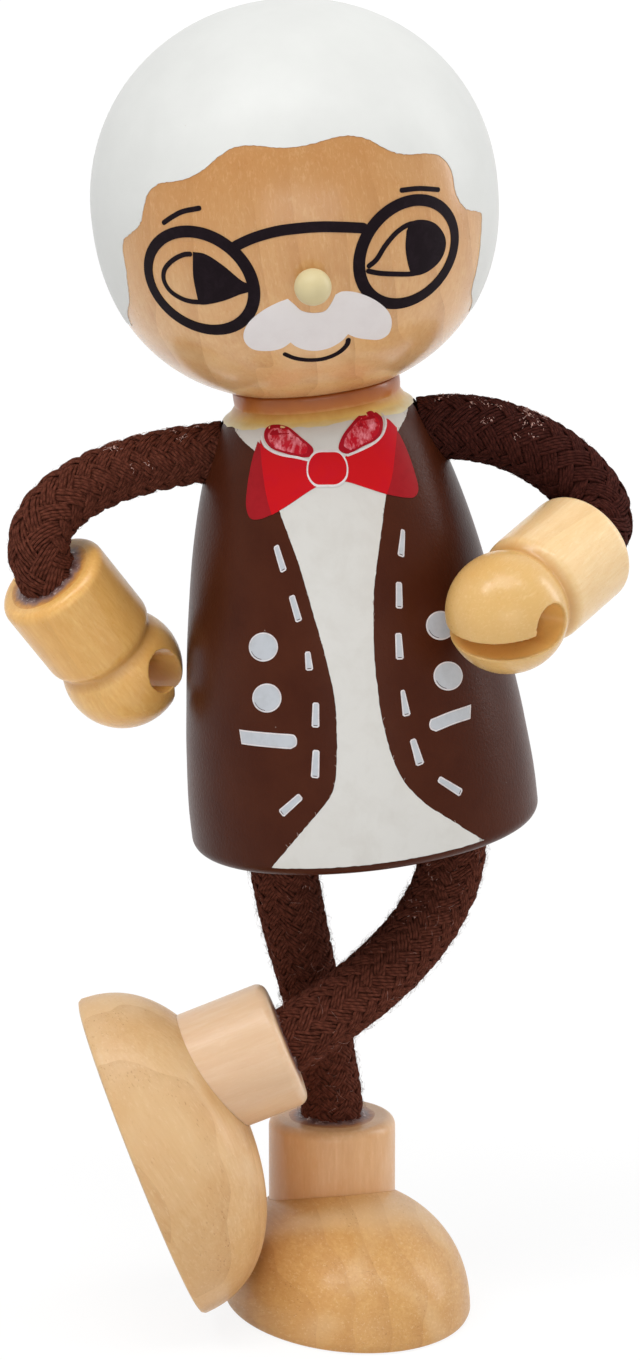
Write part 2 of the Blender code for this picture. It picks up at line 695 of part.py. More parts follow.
def main():
    """Build the whole doll."""
    clear_scene()
    root = empty("torso_pivot", torso_frame().translation)
    make_torso(root)
    make_neck(root)
    make_head(root)
    routes = limb_routes()
    ends = {name: make_limb(name, route, root) for name, route in routes.items()}
    hands = (("right", shoulder(-1) + RIGHT_WRIST_REACH, RIGHT_HAND_AXIS, RIGHT_GRIP_AXIS),
             ("left", shoulder(1) + LEFT_WRIST_REACH, LEFT_HAND_AXIS, LEFT_GRIP_AXIS))
    for side, wrist, axis, grip in hands:
        pivot = ends[f"{side}_arm"]
        frame = make_hand(f"{side}_hand", wrist, axis, grip, pivot)
        make_glue(f"{side}_wrist_glue", pivot, frame)
    standing_toe = Vector((math.sin(STANDING_TURN), -math.cos(STANDING_TURN), 0.0))
    make_foot("right", Vector((0.0, 0.0, ANKLE_TOP)), -UP, standing_toe, ends["right_leg"])
    make_foot("left", FREE_ANKLE_TOP, FREE_ANKLE_AXIS, FREE_TOE_AXIS, ends["left_leg"])


if __name__ == "__main__":
    main()
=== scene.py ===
"""Looks of the bendy doll: turned and painted wood, printed ink and braided cord.

Metres, +Z up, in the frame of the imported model.  The doll faces -Y; left and right in
names are the doll's own.  A place taken from the photograph is a pixel of its 640 by
1360 frame, and it is cast onto the turned surface that carries it.
"""
from __future__ import annotations

import logging
import math
from dataclasses import dataclass, field
from enum import Enum
from typing import Callable, Iterable, Sequence

import bmesh
import bpy
import numpy as np
from mathutils import Matrix, Vector
from mathutils.geometry import delaunay_2d_cdt

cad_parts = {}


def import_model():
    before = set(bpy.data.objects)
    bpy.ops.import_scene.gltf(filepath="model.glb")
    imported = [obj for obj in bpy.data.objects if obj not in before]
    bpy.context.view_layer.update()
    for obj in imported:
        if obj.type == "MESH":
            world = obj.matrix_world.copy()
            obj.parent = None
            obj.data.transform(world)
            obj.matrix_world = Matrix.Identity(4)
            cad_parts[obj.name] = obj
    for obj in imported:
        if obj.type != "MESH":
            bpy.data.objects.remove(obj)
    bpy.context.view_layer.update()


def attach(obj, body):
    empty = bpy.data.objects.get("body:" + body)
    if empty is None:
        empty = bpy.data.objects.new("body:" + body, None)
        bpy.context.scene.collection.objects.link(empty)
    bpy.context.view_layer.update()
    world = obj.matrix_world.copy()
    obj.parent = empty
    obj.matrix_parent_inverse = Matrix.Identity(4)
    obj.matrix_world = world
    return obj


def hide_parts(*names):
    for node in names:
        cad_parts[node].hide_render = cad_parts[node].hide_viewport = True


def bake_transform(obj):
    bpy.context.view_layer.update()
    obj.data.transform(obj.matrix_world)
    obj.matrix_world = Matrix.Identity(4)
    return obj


MM = 0.001
TINY = 1e-12
UP = Vector((0.0, 0.0, 1.0))
FORWARD = Vector((0.0, -1.0, 0.0))

Place = tuple[float, float, float]
Colour = tuple[float, float, float, float]
Pairs = Sequence[tuple[float, float]]
Radii = Callable[[np.ndarray], np.ndarray]
Socket = bpy.types.NodeSocket

LOG = logging.getLogger("bendy_doll")


def srgb(red: int, green: int, blue: int) -> Colour:
    """A colour as a screen shows it, 0 to 255, turned into linear light."""
    parts = []
    for part in (red, green, blue):
        share = part / 255.0
        parts.append(share / 12.92 if share <= 0.04045 else ((share + 0.055) / 1.055) ** 2.4)
    return (*parts, 1.0)


def frame_along(place: Vector, axis: Vector, side: Vector) -> Matrix:
    """A placement in the world.

    Args:
        place: where its origin lies.
        axis: the direction of its Z.
        side: the direction that its X leans to.
    Returns:
        The placement as a matrix.
    """
    z = Vector(axis).normalized()
    x = (Vector(side) - z * z.dot(Vector(side))).normalized()
    rotation = Matrix((x, z.cross(x), z)).transposed().to_4x4()
    return Matrix.Translation(place) @ rotation


def moved(frame: Matrix, points: np.ndarray) -> np.ndarray:
    """Rows of points taken from a placement's own coordinates to the world."""
    matrix = np.array(frame)
    return points @ matrix[:3, :3].T + matrix[:3, 3]


def unit(rows: np.ndarray) -> np.ndarray:
    """Rows scaled to a length of 1."""
    return rows / np.maximum(np.linalg.norm(rows, axis=1), TINY)[:, None]


def squared(ahead: np.ndarray) -> np.ndarray:
    """Unit directions square to flat ones, to their left."""
    return unit(np.column_stack([-ahead[:, 1], ahead[:, 0]]))


def across(loop: np.ndarray) -> np.ndarray:
    """Unit directions square to a closed flat line."""
    return squared(np.roll(loop, -1, axis=0) - np.roll(loop, 1, axis=0))


def run_lengths(line: np.ndarray) -> np.ndarray:
    """The length run along a line at each of its points."""
    return np.concatenate([[0.0], np.cumsum(np.linalg.norm(np.diff(line, axis=0), axis=1))])


def read_off(places: np.ndarray, known: np.ndarray, rows: np.ndarray) -> np.ndarray:
    """Rows of a table read off between its known places, column by column."""
    return np.column_stack([np.interp(places, known, column) for column in rows.T])


def hermite(t: np.ndarray, low: np.ndarray, high: np.ndarray, enter: np.ndarray,
            leave: np.ndarray) -> np.ndarray:
    """The cubic from low to high, at shares t of the way, with its slope at each end."""
    return (low * (2 * t ** 3 - 3 * t ** 2 + 1) + high * (3 * t ** 2 - 2 * t ** 3)
            + enter * (t ** 3 - 2 * t ** 2 + t) + leave * (t ** 3 - t ** 2))


def smooth_curve(points: np.ndarray, step: float, closed: bool = False) -> np.ndarray:
    """A smooth curve through points, as evenly spaced points.

    Args:
        points: the points it runs through, one in each row.
        step: the distance between the curve's own points.
        closed: whether it returns to its start.
    Returns:
        Points along the curve; a closed one doesn't repeat its first point.
    """
    points = np.asarray(points, float)
    if closed:
        padded = np.vstack([points[-1:], points, points[:2]])
    else:
        padded = np.vstack([2 * points[0] - points[1], points, 2 * points[-1] - points[-2]])
    fine = []
    for a, b, c, d in zip(padded, padded[1:], padded[2:], padded[3:]):
        first, middle, last = (max(np.linalg.norm(high - low), 1e-9) ** 0.5
                               for low, high in ((a, b), (b, c), (c, d)))
        enter = (b - a) / first - (c - a) / (first + middle) + (c - b) / middle
        leave = (c - b) / middle - (d - b) / (middle + last) + (d - c) / last
        count = max(4, round(np.linalg.norm(c - b) / step * 3))
        t = np.linspace(0.0, 1.0, count, endpoint=False)[:, None]
        fine.append(hermite(t, b, c, enter * middle, leave * middle))
    fine.append(points[:1] if closed else points[-1:])
    line = np.vstack(fine)
    lengths = run_lengths(line)
    count = max(3, round(lengths[-1] / step))
    result = read_off(np.linspace(0.0, lengths[-1], count + 1), lengths, line)
    return result[:-1] if closed else result


def straight_runs(corners: np.ndarray, step: float, least: int) -> np.ndarray:
    """Points on the straight runs between corners.

    Args:
        corners: the corners, one in each row.
        step: the distance between points.
        least: the fewest points of one run.
    Returns:
        Points from the first corner up to the last, which is left out.
    """
    return np.vstack([np.linspace(a, b, max(least, round(np.linalg.norm(b - a) / step)),
                                  endpoint=False) for a, b in zip(corners, corners[1:])])


def wander(values: np.ndarray, seed: int, waves: int) -> np.ndarray:
    """Smooth unevenness between -1 and 1 along a full turn.

    Args:
        values: angles in radians.
        seed: which of the uneven curves it is.
        waves: how many waves it is summed from.
    Returns:
        One value for each angle.
    """
    rng = np.random.default_rng(seed)
    total = np.zeros_like(values)
    for wave in range(1, waves + 1):
        total += rng.normal() / wave ** 0.6 * np.cos(wave * values + rng.uniform(0, math.tau))
    return total / max(np.abs(total).max(), 1e-9)


def ring_faces(rows: int, sides: int, closed: bool = False) -> list[tuple[int, ...]]:
    """Faces between rings of points that follow each other.

    Args:
        rows: how many rings there are.
        sides: how many points each ring has.
        closed: whether the last ring joins the first; if not, both ends are capped.
    Returns:
        The faces, as numbers of the points.
    """
    faces = []
    for i in range(rows if closed else rows - 1):
        low, high = i * sides, (i + 1) % rows * sides
        for k in range(sides):
            m = (k + 1) % sides
            faces.append((low + k, low + m, high + m, high + k))
    if not closed:
        faces.append(tuple(range(sides - 1, -1, -1)))
        faces.append(tuple(range((rows - 1) * sides, rows * sides)))
    return faces


def rounded(radius: float, edge: float) -> list[tuple[float, float]]:
    """A turned profile round its outer edge, from the end face at height 0."""
    return [(radius - edge * (1 - math.sin(math.pi / 2 * i / 8)),
             edge * (1 - math.cos(math.pi / 2 * i / 8))) for i in range(9)]


def socket_mouth(radius: float, depth: float, chamfer: float = 0.15 * MM,
                 ) -> list[tuple[float, float]]:
    """A turned profile from a socket's floor out to the end face at height 0."""
    return [(0.0, depth), (radius, depth), (radius, chamfer), (radius + chamfer, 0.0)]


def ball_profile(radius: float, middle: float, first: float) -> list[tuple[float, float]]:
    """A turned profile round a ball, from an angle at its lower pole to the upper pole."""
    angles = [first + (math.pi - first) * i / 40 for i in range(40)]
    return [*((radius * math.sin(angle), middle - radius * math.cos(angle)) for angle in angles),
            (0, middle + radius)]


class Graph:
    """The shader nodes of one material, added one by one."""

    def __init__(self, name: str) -> None:
        """Start a material that holds a plain principled shader."""
        self.material = bpy.data.materials.new(name)
        self.material.use_nodes = True
        self.tree = self.material.node_tree
        self.shader = self.tree.nodes["Principled BSDF"]

    def node(self, kind: str, inputs: dict, **settings: object) -> bpy.types.Node:
        """Add a node.

        Args:
            kind: the node's type without its ShaderNode prefix.
            inputs: sockets by name or number, each a value or another node's output.
            settings: the node's own properties.
        Returns:
            The node.
        """
        node = self.tree.nodes.new("ShaderNode" + kind)
        for key, value in settings.items():
            setattr(node, key, value)
        for key, value in inputs.items():
            self.feed(node.inputs[key], value)
        return node

    def feed(self, socket: Socket, value: object) -> None:
        """Link an output to a socket, or set the socket's value."""
        if isinstance(value, Socket):
            self.tree.links.new(value, socket)
        else:
            socket.default_value = value

    def surface(self, **inputs: object) -> None:
        """Set the principled shader's sockets; an underscore stands for a space."""
        for key, value in inputs.items():
            self.feed(self.shader.inputs[key.replace("_", " ")], value)

    def here(self) -> Socket:
        """The piece's own coordinates, which ride with it."""
        return self.node("TexCoord", {}).outputs["Object"]

    def place(self, frame: Matrix, along: float = 1.0) -> Socket:
        """Coordinates of a placement that ride with the piece.

        Args:
            frame: the placement whose coordinates are wanted.
            along: a factor along its Z, applied last.
        Returns:
            The vector output.
        """
        back = frame.inverted()
        turned = self.node("Mapping", {"Vector": self.here(), "Location": back.translation,
                                       "Rotation": back.to_euler("XYZ")}).outputs[0]
        return self.node("Mapping", {"Vector": turned, "Scale": (1.0, 1.0, along)}).outputs[0]

    def part(self, vector: Socket, axis: int) -> Socket:
        """One coordinate of a vector: 0, 1 or 2."""
        return self.node("SeparateXYZ", {0: vector}).outputs[axis]

    def away(self, vector: Socket, place: Place = (0.0, 0.0, 0.0)) -> Socket:
        """The distance of a vector from a place."""
        node = self.node("VectorMath", {0: vector, 1: place}, operation="DISTANCE")
        return node.outputs["Value"]

    def noise(self, vector: Socket | None, size: float, detail: float = 3.0,
              rough: float = 0.55, warp: float = 0.0) -> Socket:
        """A noise's value, about 0.5, in waves of a size; no vector is the piece's own."""
        spot = self.here() if vector is None else vector
        inputs = {"Vector": spot, "Scale": 1.0 / size, "Detail": detail, "Roughness": rough,
                  "Distortion": warp}
        return self.node("TexNoise", inputs).outputs["Fac"]

    def ramp(self, value: Socket, stops: Sequence[tuple[float, Colour]]) -> Socket:
        """Colours between stops of (place, colour), the outer two first, read at a value."""
        node = self.node("ValToRGB", {"Fac": value})
        items = node.color_ramp.elements
        for item, (place, colour) in zip(items, stops):
            item.position = place
            item.color = colour
        for place, colour in stops[2:]:
            items.new(place).color = colour
        return node.outputs["Color"]

    def level(self, value: Socket, low: float, high: float, start: float = 0.0,
              end: float = 1.0) -> Socket:
        """A value's share of the way from low to high, between start and end."""
        inputs = {"Value": value, "From Min": low, "From Max": high,
                  "To Min": start, "To Max": end}
        return self.node("MapRange", inputs).outputs["Result"]

    def mix(self, share: object, low: object, high: object) -> Socket:
        """Two colours mixed by a share of the second."""
        return self.node("Mix", {0: share, 6: low, 7: high}, data_type="RGBA").outputs[2]

    def maths(self, kind: str, first: object, second: object = 0.0) -> Socket:
        """One sum of two values."""
        return self.node("Math", {0: first, 1: second}, operation=kind).outputs[0]

    def times(self, first: object, second: object) -> Socket:
        """The product of two values."""
        return self.maths("MULTIPLY", first, second)

    def bump(self, height: Socket, depth: float, strength: float = 1.0,
             over: Socket | None = None) -> Socket:
        """A bumped normal.

        Args:
            height: the height map, 0 to 1.
            depth: the real height, in metres, of 1.
            strength: share of the effect.
            over: another bump's normal, which this one lies on.
        Returns:
            The normal output.
        """
        inputs = {"Height": height, "Distance": depth, "Strength": strength}
        if over is not None:
            inputs["Normal"] = over
        return self.node("Bump", inputs).outputs["Normal"]


@dataclass(frozen=True)
class LacqueredWood:
    """Turned wood under clear lacquer: grain, growth bands, ray flecks and pores."""

    name: str
    light: Colour
    dark: Colour
    line: Colour
    pale: Colour
    roughness: float = 0.42
    coat: float = 0.15
    line_pitch: float = 3.4 * MM
    line_strength: float = 0.35
    pore_share: float = 0.4
    fleck_share: float = 0.35
    fleck_stretch: float = 0.22
    grain_width: float = 0.30 * MM
    grain_length: float = 4.0 * MM
    upper: Colour | None = None
    upper_span: tuple[float, float] = (-9.0 * MM, 6.0 * MM)
    groove: tuple[float, float] | None = None
    inside: Colour | None = None
    inside_ball: tuple[float, float] = (0.0, 0.0)

    MOTTLE = 1.3 * MM
    BLOTCH = 8.0 * MM
    PALE_BLOTCH = 10.0 * MM
    BAND_FADE = 2.5 * MM
    FLECK = 0.20 * MM
    PORE = 0.17 * MM
    PORE_GROUP = 2.6 * MM
    SKIN = 0.24 * MM
    GRAIN_DEPTH = 0.012 * MM
    SKIN_DEPTH = 0.014 * MM
    INSIDE_DEPTHS = (0.45 * MM, 0.15 * MM)
    # Painted shade in the grip hole: a dark reddish brown, strongest near the ball's middle and
    # gone at the far end of the span.
    HOLLOW_SHADE = srgb(150, 80, 38)
    HOLLOW_SHADE_SPAN = (1.2 * MM, 3.4 * MM)
    SCATTER = (0.9 * MM, 0.45 * MM, 0.2 * MM)

    def _places(self, graph: Graph, plain: Socket, flecks: Socket, tone: Socket) -> Socket:
        """The tone where it changes with the place: an upper tone; painted shade along the groove;
        and the cut faces, partly their own orange and partly painted light, with painted shade
        deep in the hole.
        """
        # An upper tone towards the placement's top: on the hand's ball its own tone; on the face
        # partly the wood's own and partly painted shade.
        if self.upper:
            streaks = graph.level(flecks, 0.50, 0.70, 0.0, self.fleck_share)
            share = graph.level(graph.part(plain, 2), *self.upper_span, 0.0, 0.85)
            tone = graph.mix(share, tone, graph.mix(streaks, self.upper, tone))
        # Painted shade: a band of the line colour along the groove, darkest at its middle height.
        if self.groove:
            level, half = self.groove
            off = graph.maths("ABSOLUTE", graph.maths("SUBTRACT", graph.part(plain, 2), level))
            tone = graph.mix(graph.level(off, 0.1 * half, half, 0.75, 0.0), tone, self.line)
        # The cut faces of the hole and slot: partly their own orange, partly painted light that
        # brightens them where they lie in shade.
        if self.inside:
            place, reach = self.inside_ball
            far = graph.away(plain, (0.0, 0.0, place))
            span = [reach - depth for depth in self.INSIDE_DEPTHS]
            tone = graph.mix(graph.level(far, *span, 0.75, 0.0), tone, self.inside)
            # Painted shade deep in the hole, towards the ball's middle.
            tone = graph.mix(graph.level(far, *self.HOLLOW_SHADE_SPAN, 0.8, 0.0), tone, self.HOLLOW_SHADE)
        return tone

    def _tone(self, graph: Graph, frame: Matrix, grain: Socket) -> Socket:
        """The wood's colour: grain, patches, bands, flecks and pores."""
        plain = graph.place(frame)
        spots = graph.noise(graph.place(frame, 0.4), self.MOTTLE, 3.0, 0.62)
        cloud = graph.noise(plain, self.BLOTCH, 2.0, 0.5, 0.3)
        other = graph.noise(plain, self.PALE_BLOTCH, 1.0, 0.5, 0.6)
        sway = graph.noise(graph.place(frame, 0.25), self.line_pitch * 3, 2.0)
        saw = graph.maths("FRACT", graph.maths(
            "ADD", graph.times(graph.part(plain, 0), 1.0 / self.line_pitch),
            graph.times(sway, 2.2)))
        soft = graph.level(saw, 0.45, 1.0, 0.0, self.line_strength)
        faint = graph.level(graph.noise(plain, self.BAND_FADE, 2.0), 0.3, 0.7, 0.25, 1.0)
        flecks = graph.noise(graph.place(frame, self.fleck_stretch), self.FLECK, 2.0, 0.5, 0.8)
        tone = self.light
        for share, colour in (
                (graph.level(grain, 0.28, 0.72), self.dark),
                (graph.level(spots, 0.42, 0.68, 0.0, 0.6), self.dark),
                (graph.level(cloud, 0.38, 0.68, 0.0, 0.5), self.dark),
                (graph.level(other, 0.50, 0.72, 0.0, 0.5), self.pale),
                (graph.times(soft, faint), self.line),
                (graph.level(flecks, 0.58, 0.72, 0.0, self.fleck_share), self.pale)):
            tone = graph.mix(share, tone, colour)
        tone = self._places(graph, plain, flecks, tone)
        pores = graph.noise(graph.place(frame, 0.35), self.PORE, 1.0, 0.4)
        groups = graph.noise(plain, self.PORE_GROUP, 1.0)
        dots = graph.times(graph.level(pores, 0.66, 0.73), graph.level(saw, 0.4, 1.0, 0.3, 1.0))
        dots = graph.times(dots, graph.level(groups, 0.46, 0.62, 0.12, 1.0))
        return graph.mix(graph.times(dots, self.pore_share), tone, self.line)

    def make(self, frame: Matrix) -> bpy.types.Material:
        """Build the material; the grain runs along the placement's Z."""
        graph = Graph(self.name)
        grain = graph.noise(graph.place(frame, self.grain_width / self.grain_length),
                            self.grain_width, 4.0, 0.6, 0.4)
        skin = graph.noise(graph.place(frame), self.SKIN, 3.0, 0.65)
        rough = graph.level(skin, 0.3, 0.7, self.roughness - 0.10, self.roughness + 0.14)
        normal = graph.bump(skin, self.SKIN_DEPTH, 0.8, graph.bump(grain, self.GRAIN_DEPTH, 0.7))
        graph.surface(Base_Color=self._tone(graph, frame, grain), Roughness=rough, Normal=normal,
                      Specular_IOR_Level=0.28, Coat_Weight=self.coat, Coat_Roughness=0.2,
                      Subsurface_Weight=0.08, Subsurface_Scale=1.0,
                      Subsurface_Radius=self.SCATTER)
        return graph.material


@dataclass(frozen=True)
class SatinPaint:
    """Sprayed paint over wood: an even colour with a faint ripple and dust specks."""

    name: str
    colour: Colour
    shade: Colour
    speck: Colour
    roughness: float
    gloss: float
    ripple: float = 0.006 * MM
    speck_share: float = 0.35
    peel_size: float = 0.16 * MM

    CLOUD = 5.0 * MM
    SPECK_PITCH = 1.6 * MM
    FIBRE = 0.28 * MM
    FIBRE_DEPTH = 0.004 * MM

    def make(self, frame: Matrix) -> bpy.types.Material:
        """Build the material; the wood's grain runs along the placement's Z."""
        graph = Graph(self.name)
        plain = graph.place(frame)
        cloud = graph.noise(plain, self.CLOUD, 3.0, 0.6)
        tone = graph.mix(graph.level(cloud, 0.3, 0.75), self.colour, self.shade)
        cells = graph.node("TexVoronoi", {"Vector": plain, "Scale": 1.0 / self.SPECK_PITCH,
                                          "Randomness": 1.0})
        dot = graph.level(cells.outputs["Distance"], 0.030, 0.045, 1.0, 0.0)
        lucky = graph.node("SeparateColor", {0: cells.outputs["Color"]}).outputs[0]
        rare = graph.level(lucky, 0.93, 0.95, 0.0, self.speck_share)
        tone = graph.mix(graph.times(dot, rare), tone, self.speck)
        fibres = graph.noise(graph.place(frame, 0.06), self.FIBRE, 4.0, 0.6)
        peel = graph.noise(plain, self.peel_size, 3.0, 0.6)
        rough = graph.level(peel, 0.2, 0.8, self.roughness - 0.05, self.roughness + 0.07)
        normal = graph.bump(peel, self.ripple, 1.0, graph.bump(fibres, self.FIBRE_DEPTH))
        graph.surface(Base_Color=tone, Roughness=rough, Normal=normal,
                      Specular_IOR_Level=self.gloss)
        return graph.material


@dataclass(frozen=True)
class PrintInk:
    """Pad-printed ink: nearly even, a little patchy where it is thin."""

    name: str
    colour: Colour
    thin: Colour
    roughness: float = 0.36
    patch: float = 0.9 * MM
    threshold: tuple[float, float] = (0.45, 0.8)
    drag: Place = (1.0, 1.0, 1.0)
    gloss: float = 0.10

    PEEL = 0.15 * MM
    PEEL_DEPTH = 0.006 * MM

    def make(self) -> bpy.types.Material:
        """Build the material."""
        graph = Graph(self.name)
        drawn = graph.node("Mapping", {"Vector": graph.here(), "Scale": self.drag}).outputs[0]
        cloud = graph.noise(drawn, self.patch, 4.0, 0.65, 0.3)
        peel = graph.noise(None, self.PEEL, 3.0, 0.6)
        tone = graph.mix(graph.level(cloud, *self.threshold), self.colour, self.thin)
        rough = graph.level(peel, 0.2, 0.8, self.roughness - 0.04, self.roughness + 0.10)
        graph.surface(Base_Color=tone, Roughness=rough, Specular_IOR_Level=self.gloss,
                      Normal=graph.bump(peel, self.PEEL_DEPTH))
        return graph.material


@dataclass(frozen=True)
class CordYarn:
    """Plied brown cotton: the twist of each yarn, painted light on its ridges and painted shade in
    its grooves, light fibres and a soft sheen.
    """

    name: str
    ply_shade_and_dark: Colour
    lit: Colour
    warm: Colour
    glint: Colour

    CLOUD = 1.3 * MM
    FLUFF = 0.13 * MM
    PLY_DEPTH = 0.028 * MM

    def make(self) -> bpy.types.Material:
        """Build the material; the twist follows the mesh's yarn coordinates."""
        graph = Graph(self.name)
        yarn = graph.node("UVMap", {}, uv_map=Braid.COORDINATES).outputs[0]
        turn = graph.times(graph.maths("ADD", graph.part(yarn, 0), graph.part(yarn, 1)), math.tau)
        ply = graph.level(graph.maths("SINE", turn), -1.0, 1.0)
        drawn = graph.node("Mapping", {"Vector": yarn, "Scale": (1.4, 9.0, 1.0)}).outputs[0]
        fibre = graph.noise(drawn, 1 / 3, 4.0, 0.7)
        cloud = graph.noise(None, self.CLOUD, 3.0, 0.6)
        fluff = graph.noise(None, self.FLUFF, 3.0, 0.7)
        # Painted light and shade of the twist: the lit colour on the ply ridges, the dark colour
        # in the grooves between them.
        tone = graph.mix(graph.level(ply, 0.0, 0.9, 0.4, 1.0), self.ply_shade_and_dark, self.lit)
        # Random darker patches, the yarn's own uneven tone.
        tone = graph.mix(graph.level(cloud, 0.35, 0.75, 0.0, 0.45), tone, self.ply_shade_and_dark)
        tone = graph.mix(graph.level(fluff, 0.45, 0.75, 0.0, 0.5), tone, self.warm)
        tone = graph.mix(graph.level(fibre, 0.62, 0.76, 0.0, 0.35), tone, self.glint)
        height = graph.maths("ADD", ply, graph.times(fibre, 0.8))
        graph.surface(Base_Color=tone, Roughness=0.85, Specular_IOR_Level=0.05,
                      Sheen_Weight=0.10, Sheen_Roughness=0.5, Sheen_Tint=self.warm,
                      Normal=graph.bump(height, self.PLY_DEPTH))
        return graph.material


@dataclass(frozen=True)
class PlainSolid:
    """A small or hidden piece: one colour with a fine uneven surface."""

    name: str
    colour: Colour
    shade: Colour
    roughness: float
    metallic: float = 0.0

    CLOUD = 0.5 * MM
    DEPTH = 0.02 * MM

    def make(self) -> bpy.types.Material:
        """Build the material."""
        graph = Graph(self.name)
        cloud = graph.noise(None, self.CLOUD, 3.0, 0.6)
        tone = graph.mix(graph.level(cloud, 0.35, 0.7), self.colour, self.shade)
        rough = graph.level(cloud, 0.2, 0.8, self.roughness - 0.06, self.roughness + 0.08)
        graph.surface(Base_Color=tone, Roughness=rough, Metallic=self.metallic,
                      Normal=graph.bump(cloud, self.DEPTH))
        return graph.material


class Slot(Enum):
    """The record's material slots."""

    JACKET = "jacket_paint"
    FACE = "face_paint_wood"
    CREAM = "cream_paint"
    BIRCH = "birch"
    HAND = "hand_wood"
    ANKLE = "ankle_wood"
    SHOE = "shoe_wood"
    CORD = "cord_braid"
    GLUE = "clear_glue"
    WIRE = "steel_wire"


class Shape:
    """Points and faces on their way to becoming one piece's mesh."""

    def __init__(self) -> None:
        """Start with nothing."""
        self.points: list[np.ndarray] = []
        self.faces: list[tuple[int, ...]] = []
        self.slots: list[int] = []
        self.corners: list[tuple[float, float]] = []
        self.count = 0

    def add(self, points: np.ndarray, faces: Iterable[Sequence[int]], slot: int = 0) -> None:
        """Add a closed body.

        Args:
            points: its points, one in each row.
            faces: its faces, as numbers of those points.
            slot: the material slot that its faces take.
        """
        base = self.count
        before = len(self.faces)
        self.faces += [tuple(base + i for i in face) for face in faces]
        self.slots += [slot] * (len(self.faces) - before)
        self.points.append(np.asarray(points, float))
        self.count += len(points)

    def lathe(self, profile: Pairs, sides: int, frame: Matrix,
              closed: bool = False, scale: tuple[float, float] = (1.0, 1.0)) -> None:
        """Turn a profile about a placement's Z axis.

        Args:
            profile: (radius, height) pairs; a radius of 0 at either end is a pole.
            sides: how many sides a full turn has.
            frame: the placement.
            closed: whether the profile returns to its start.
            scale: factors of the radius along X and Y.
        """
        angles = math.tau * (np.arange(sides) + 0.5) / sides
        around = np.column_stack([np.cos(angles) * scale[0], np.sin(angles) * scale[1]])
        points, starts = [], []
        for radius, height in profile:
            starts.append(len(points))
            if radius == 0:
                points.append((0.0, 0.0, height))
            else:
                points += [(x * radius, y * radius, height) for x, y in around]
        pairs = list(zip(range(len(profile)), range(1, len(profile))))
        if closed:
            pairs.append((len(profile) - 1, 0))
        faces = []
        for low, high in pairs:
            for i in range(sides):
                j = (i + 1) % sides
                if profile[low][0] == 0:
                    faces.append((starts[low], starts[high] + j, starts[high] + i))
                elif profile[high][0] == 0:
                    faces.append((starts[low] + i, starts[low] + j, starts[high]))
                else:
                    faces.append((starts[low] + i, starts[low] + j,
                                  starts[high] + j, starts[high] + i))
        self.add(moved(frame, np.array(points)), faces)

    def piece(self, name: str, materials: Sequence[bpy.types.Material],
              sharp: float = 40.0) -> bpy.types.Object:
        """Make the mesh.

        Args:
            name: the piece's name.
            materials: one for each slot.
            sharp: edges bent by more than this many degrees stay crisp.
        Returns:
            The object, at the origin.
        """
        mesh = bpy.data.meshes.new(name)
        mesh.from_pydata(np.vstack(self.points).tolist(), [], self.faces)
        for one in materials:
            mesh.materials.append(one)
        mesh.polygons.foreach_set("material_index", self.slots)
        if self.corners:
            layer = mesh.uv_layers.new(name=Braid.COORDINATES)
            layer.data.foreach_set("uv", np.array(self.corners, np.float32).ravel())
        bm = bmesh.new()
        bm.from_mesh(mesh)
        bmesh.ops.recalc_face_normals(bm, faces=bm.faces)
        bm.to_mesh(mesh)
        bm.free()
        mesh.shade_smooth()
        mesh.set_sharp_from_angle(angle=math.radians(sharp))
        piece = bpy.data.objects.new(name, mesh)
        bpy.context.collection.objects.link(piece)
        return piece


def settle(piece: bpy.types.Object, sharp: float = 40.0) -> bpy.types.Object:
    """Apply a piece's modifiers and shade it smooth again."""
    bpy.context.view_layer.update()
    depsgraph = bpy.context.evaluated_depsgraph_get()
    mesh = bpy.data.meshes.new_from_object(piece.evaluated_get(depsgraph))
    piece.modifiers.clear()
    piece.data = mesh
    mesh.shade_smooth()
    mesh.set_sharp_from_angle(angle=math.radians(sharp))
    return piece


def carve(piece: bpy.types.Object, tools: Sequence[Shape]) -> bpy.types.Object:
    """Cut shapes out of a piece.

    Args:
        piece: the piece, changed in place.
        tools: closed shapes to take away.
    Returns:
        The same piece.
    """
    solids = []
    for i, tool in enumerate(tools):
        solid = tool.piece(f"{piece.name}_tool_{i}", [])
        step = piece.modifiers.new(solid.name, "BOOLEAN")
        step.operation = "DIFFERENCE"
        step.solver = "EXACT"
        step.object = solid
        solids.append(solid)
    settle(piece)
    for solid in solids:
        bpy.data.objects.remove(solid, do_unlink=True)
    return piece


def drill(frame: Matrix, radius: float, low: float, high: float, sides: int) -> Shape:
    """A round cutter on a placement's Z axis, between two heights."""
    tool = Shape()
    tool.lathe([(0.0, low), (radius, low), (radius, high), (0.0, high)], sides, frame)
    return tool


def soften(piece: bpy.types.Object, voxel: float, rounds: int) -> bpy.types.Object:
    """Round a piece's edges, as sanding and lacquer do.

    Args:
        piece: the piece, changed in place.
        voxel: the grid's pitch.
        rounds: how often the surface is smoothed.
    Returns:
        The same piece.
    """
    grid = piece.modifiers.new("grid", "REMESH")
    grid.mode = "VOXEL"
    grid.voxel_size = voxel
    grid.use_smooth_shade = True
    sanding = piece.modifiers.new("sanding", "SMOOTH")
    sanding.factor = 0.5
    sanding.iterations = rounds
    return settle(piece, 180.0)


def fit(piece: bpy.types.Object, body: str, slot: Slot, nodes: Sequence[str] = ()) -> None:
    """Seat a rigid piece.

    Args:
        piece: the piece.
        body: the CAD body it rides on.
        slot: not used.
        nodes: CAD nodes that it stands for.
    """
    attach(piece, body)
    if nodes:
        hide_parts(*nodes)
    LOG.info("%s: %d faces on %s", piece.name, len(piece.data.polygons), body)


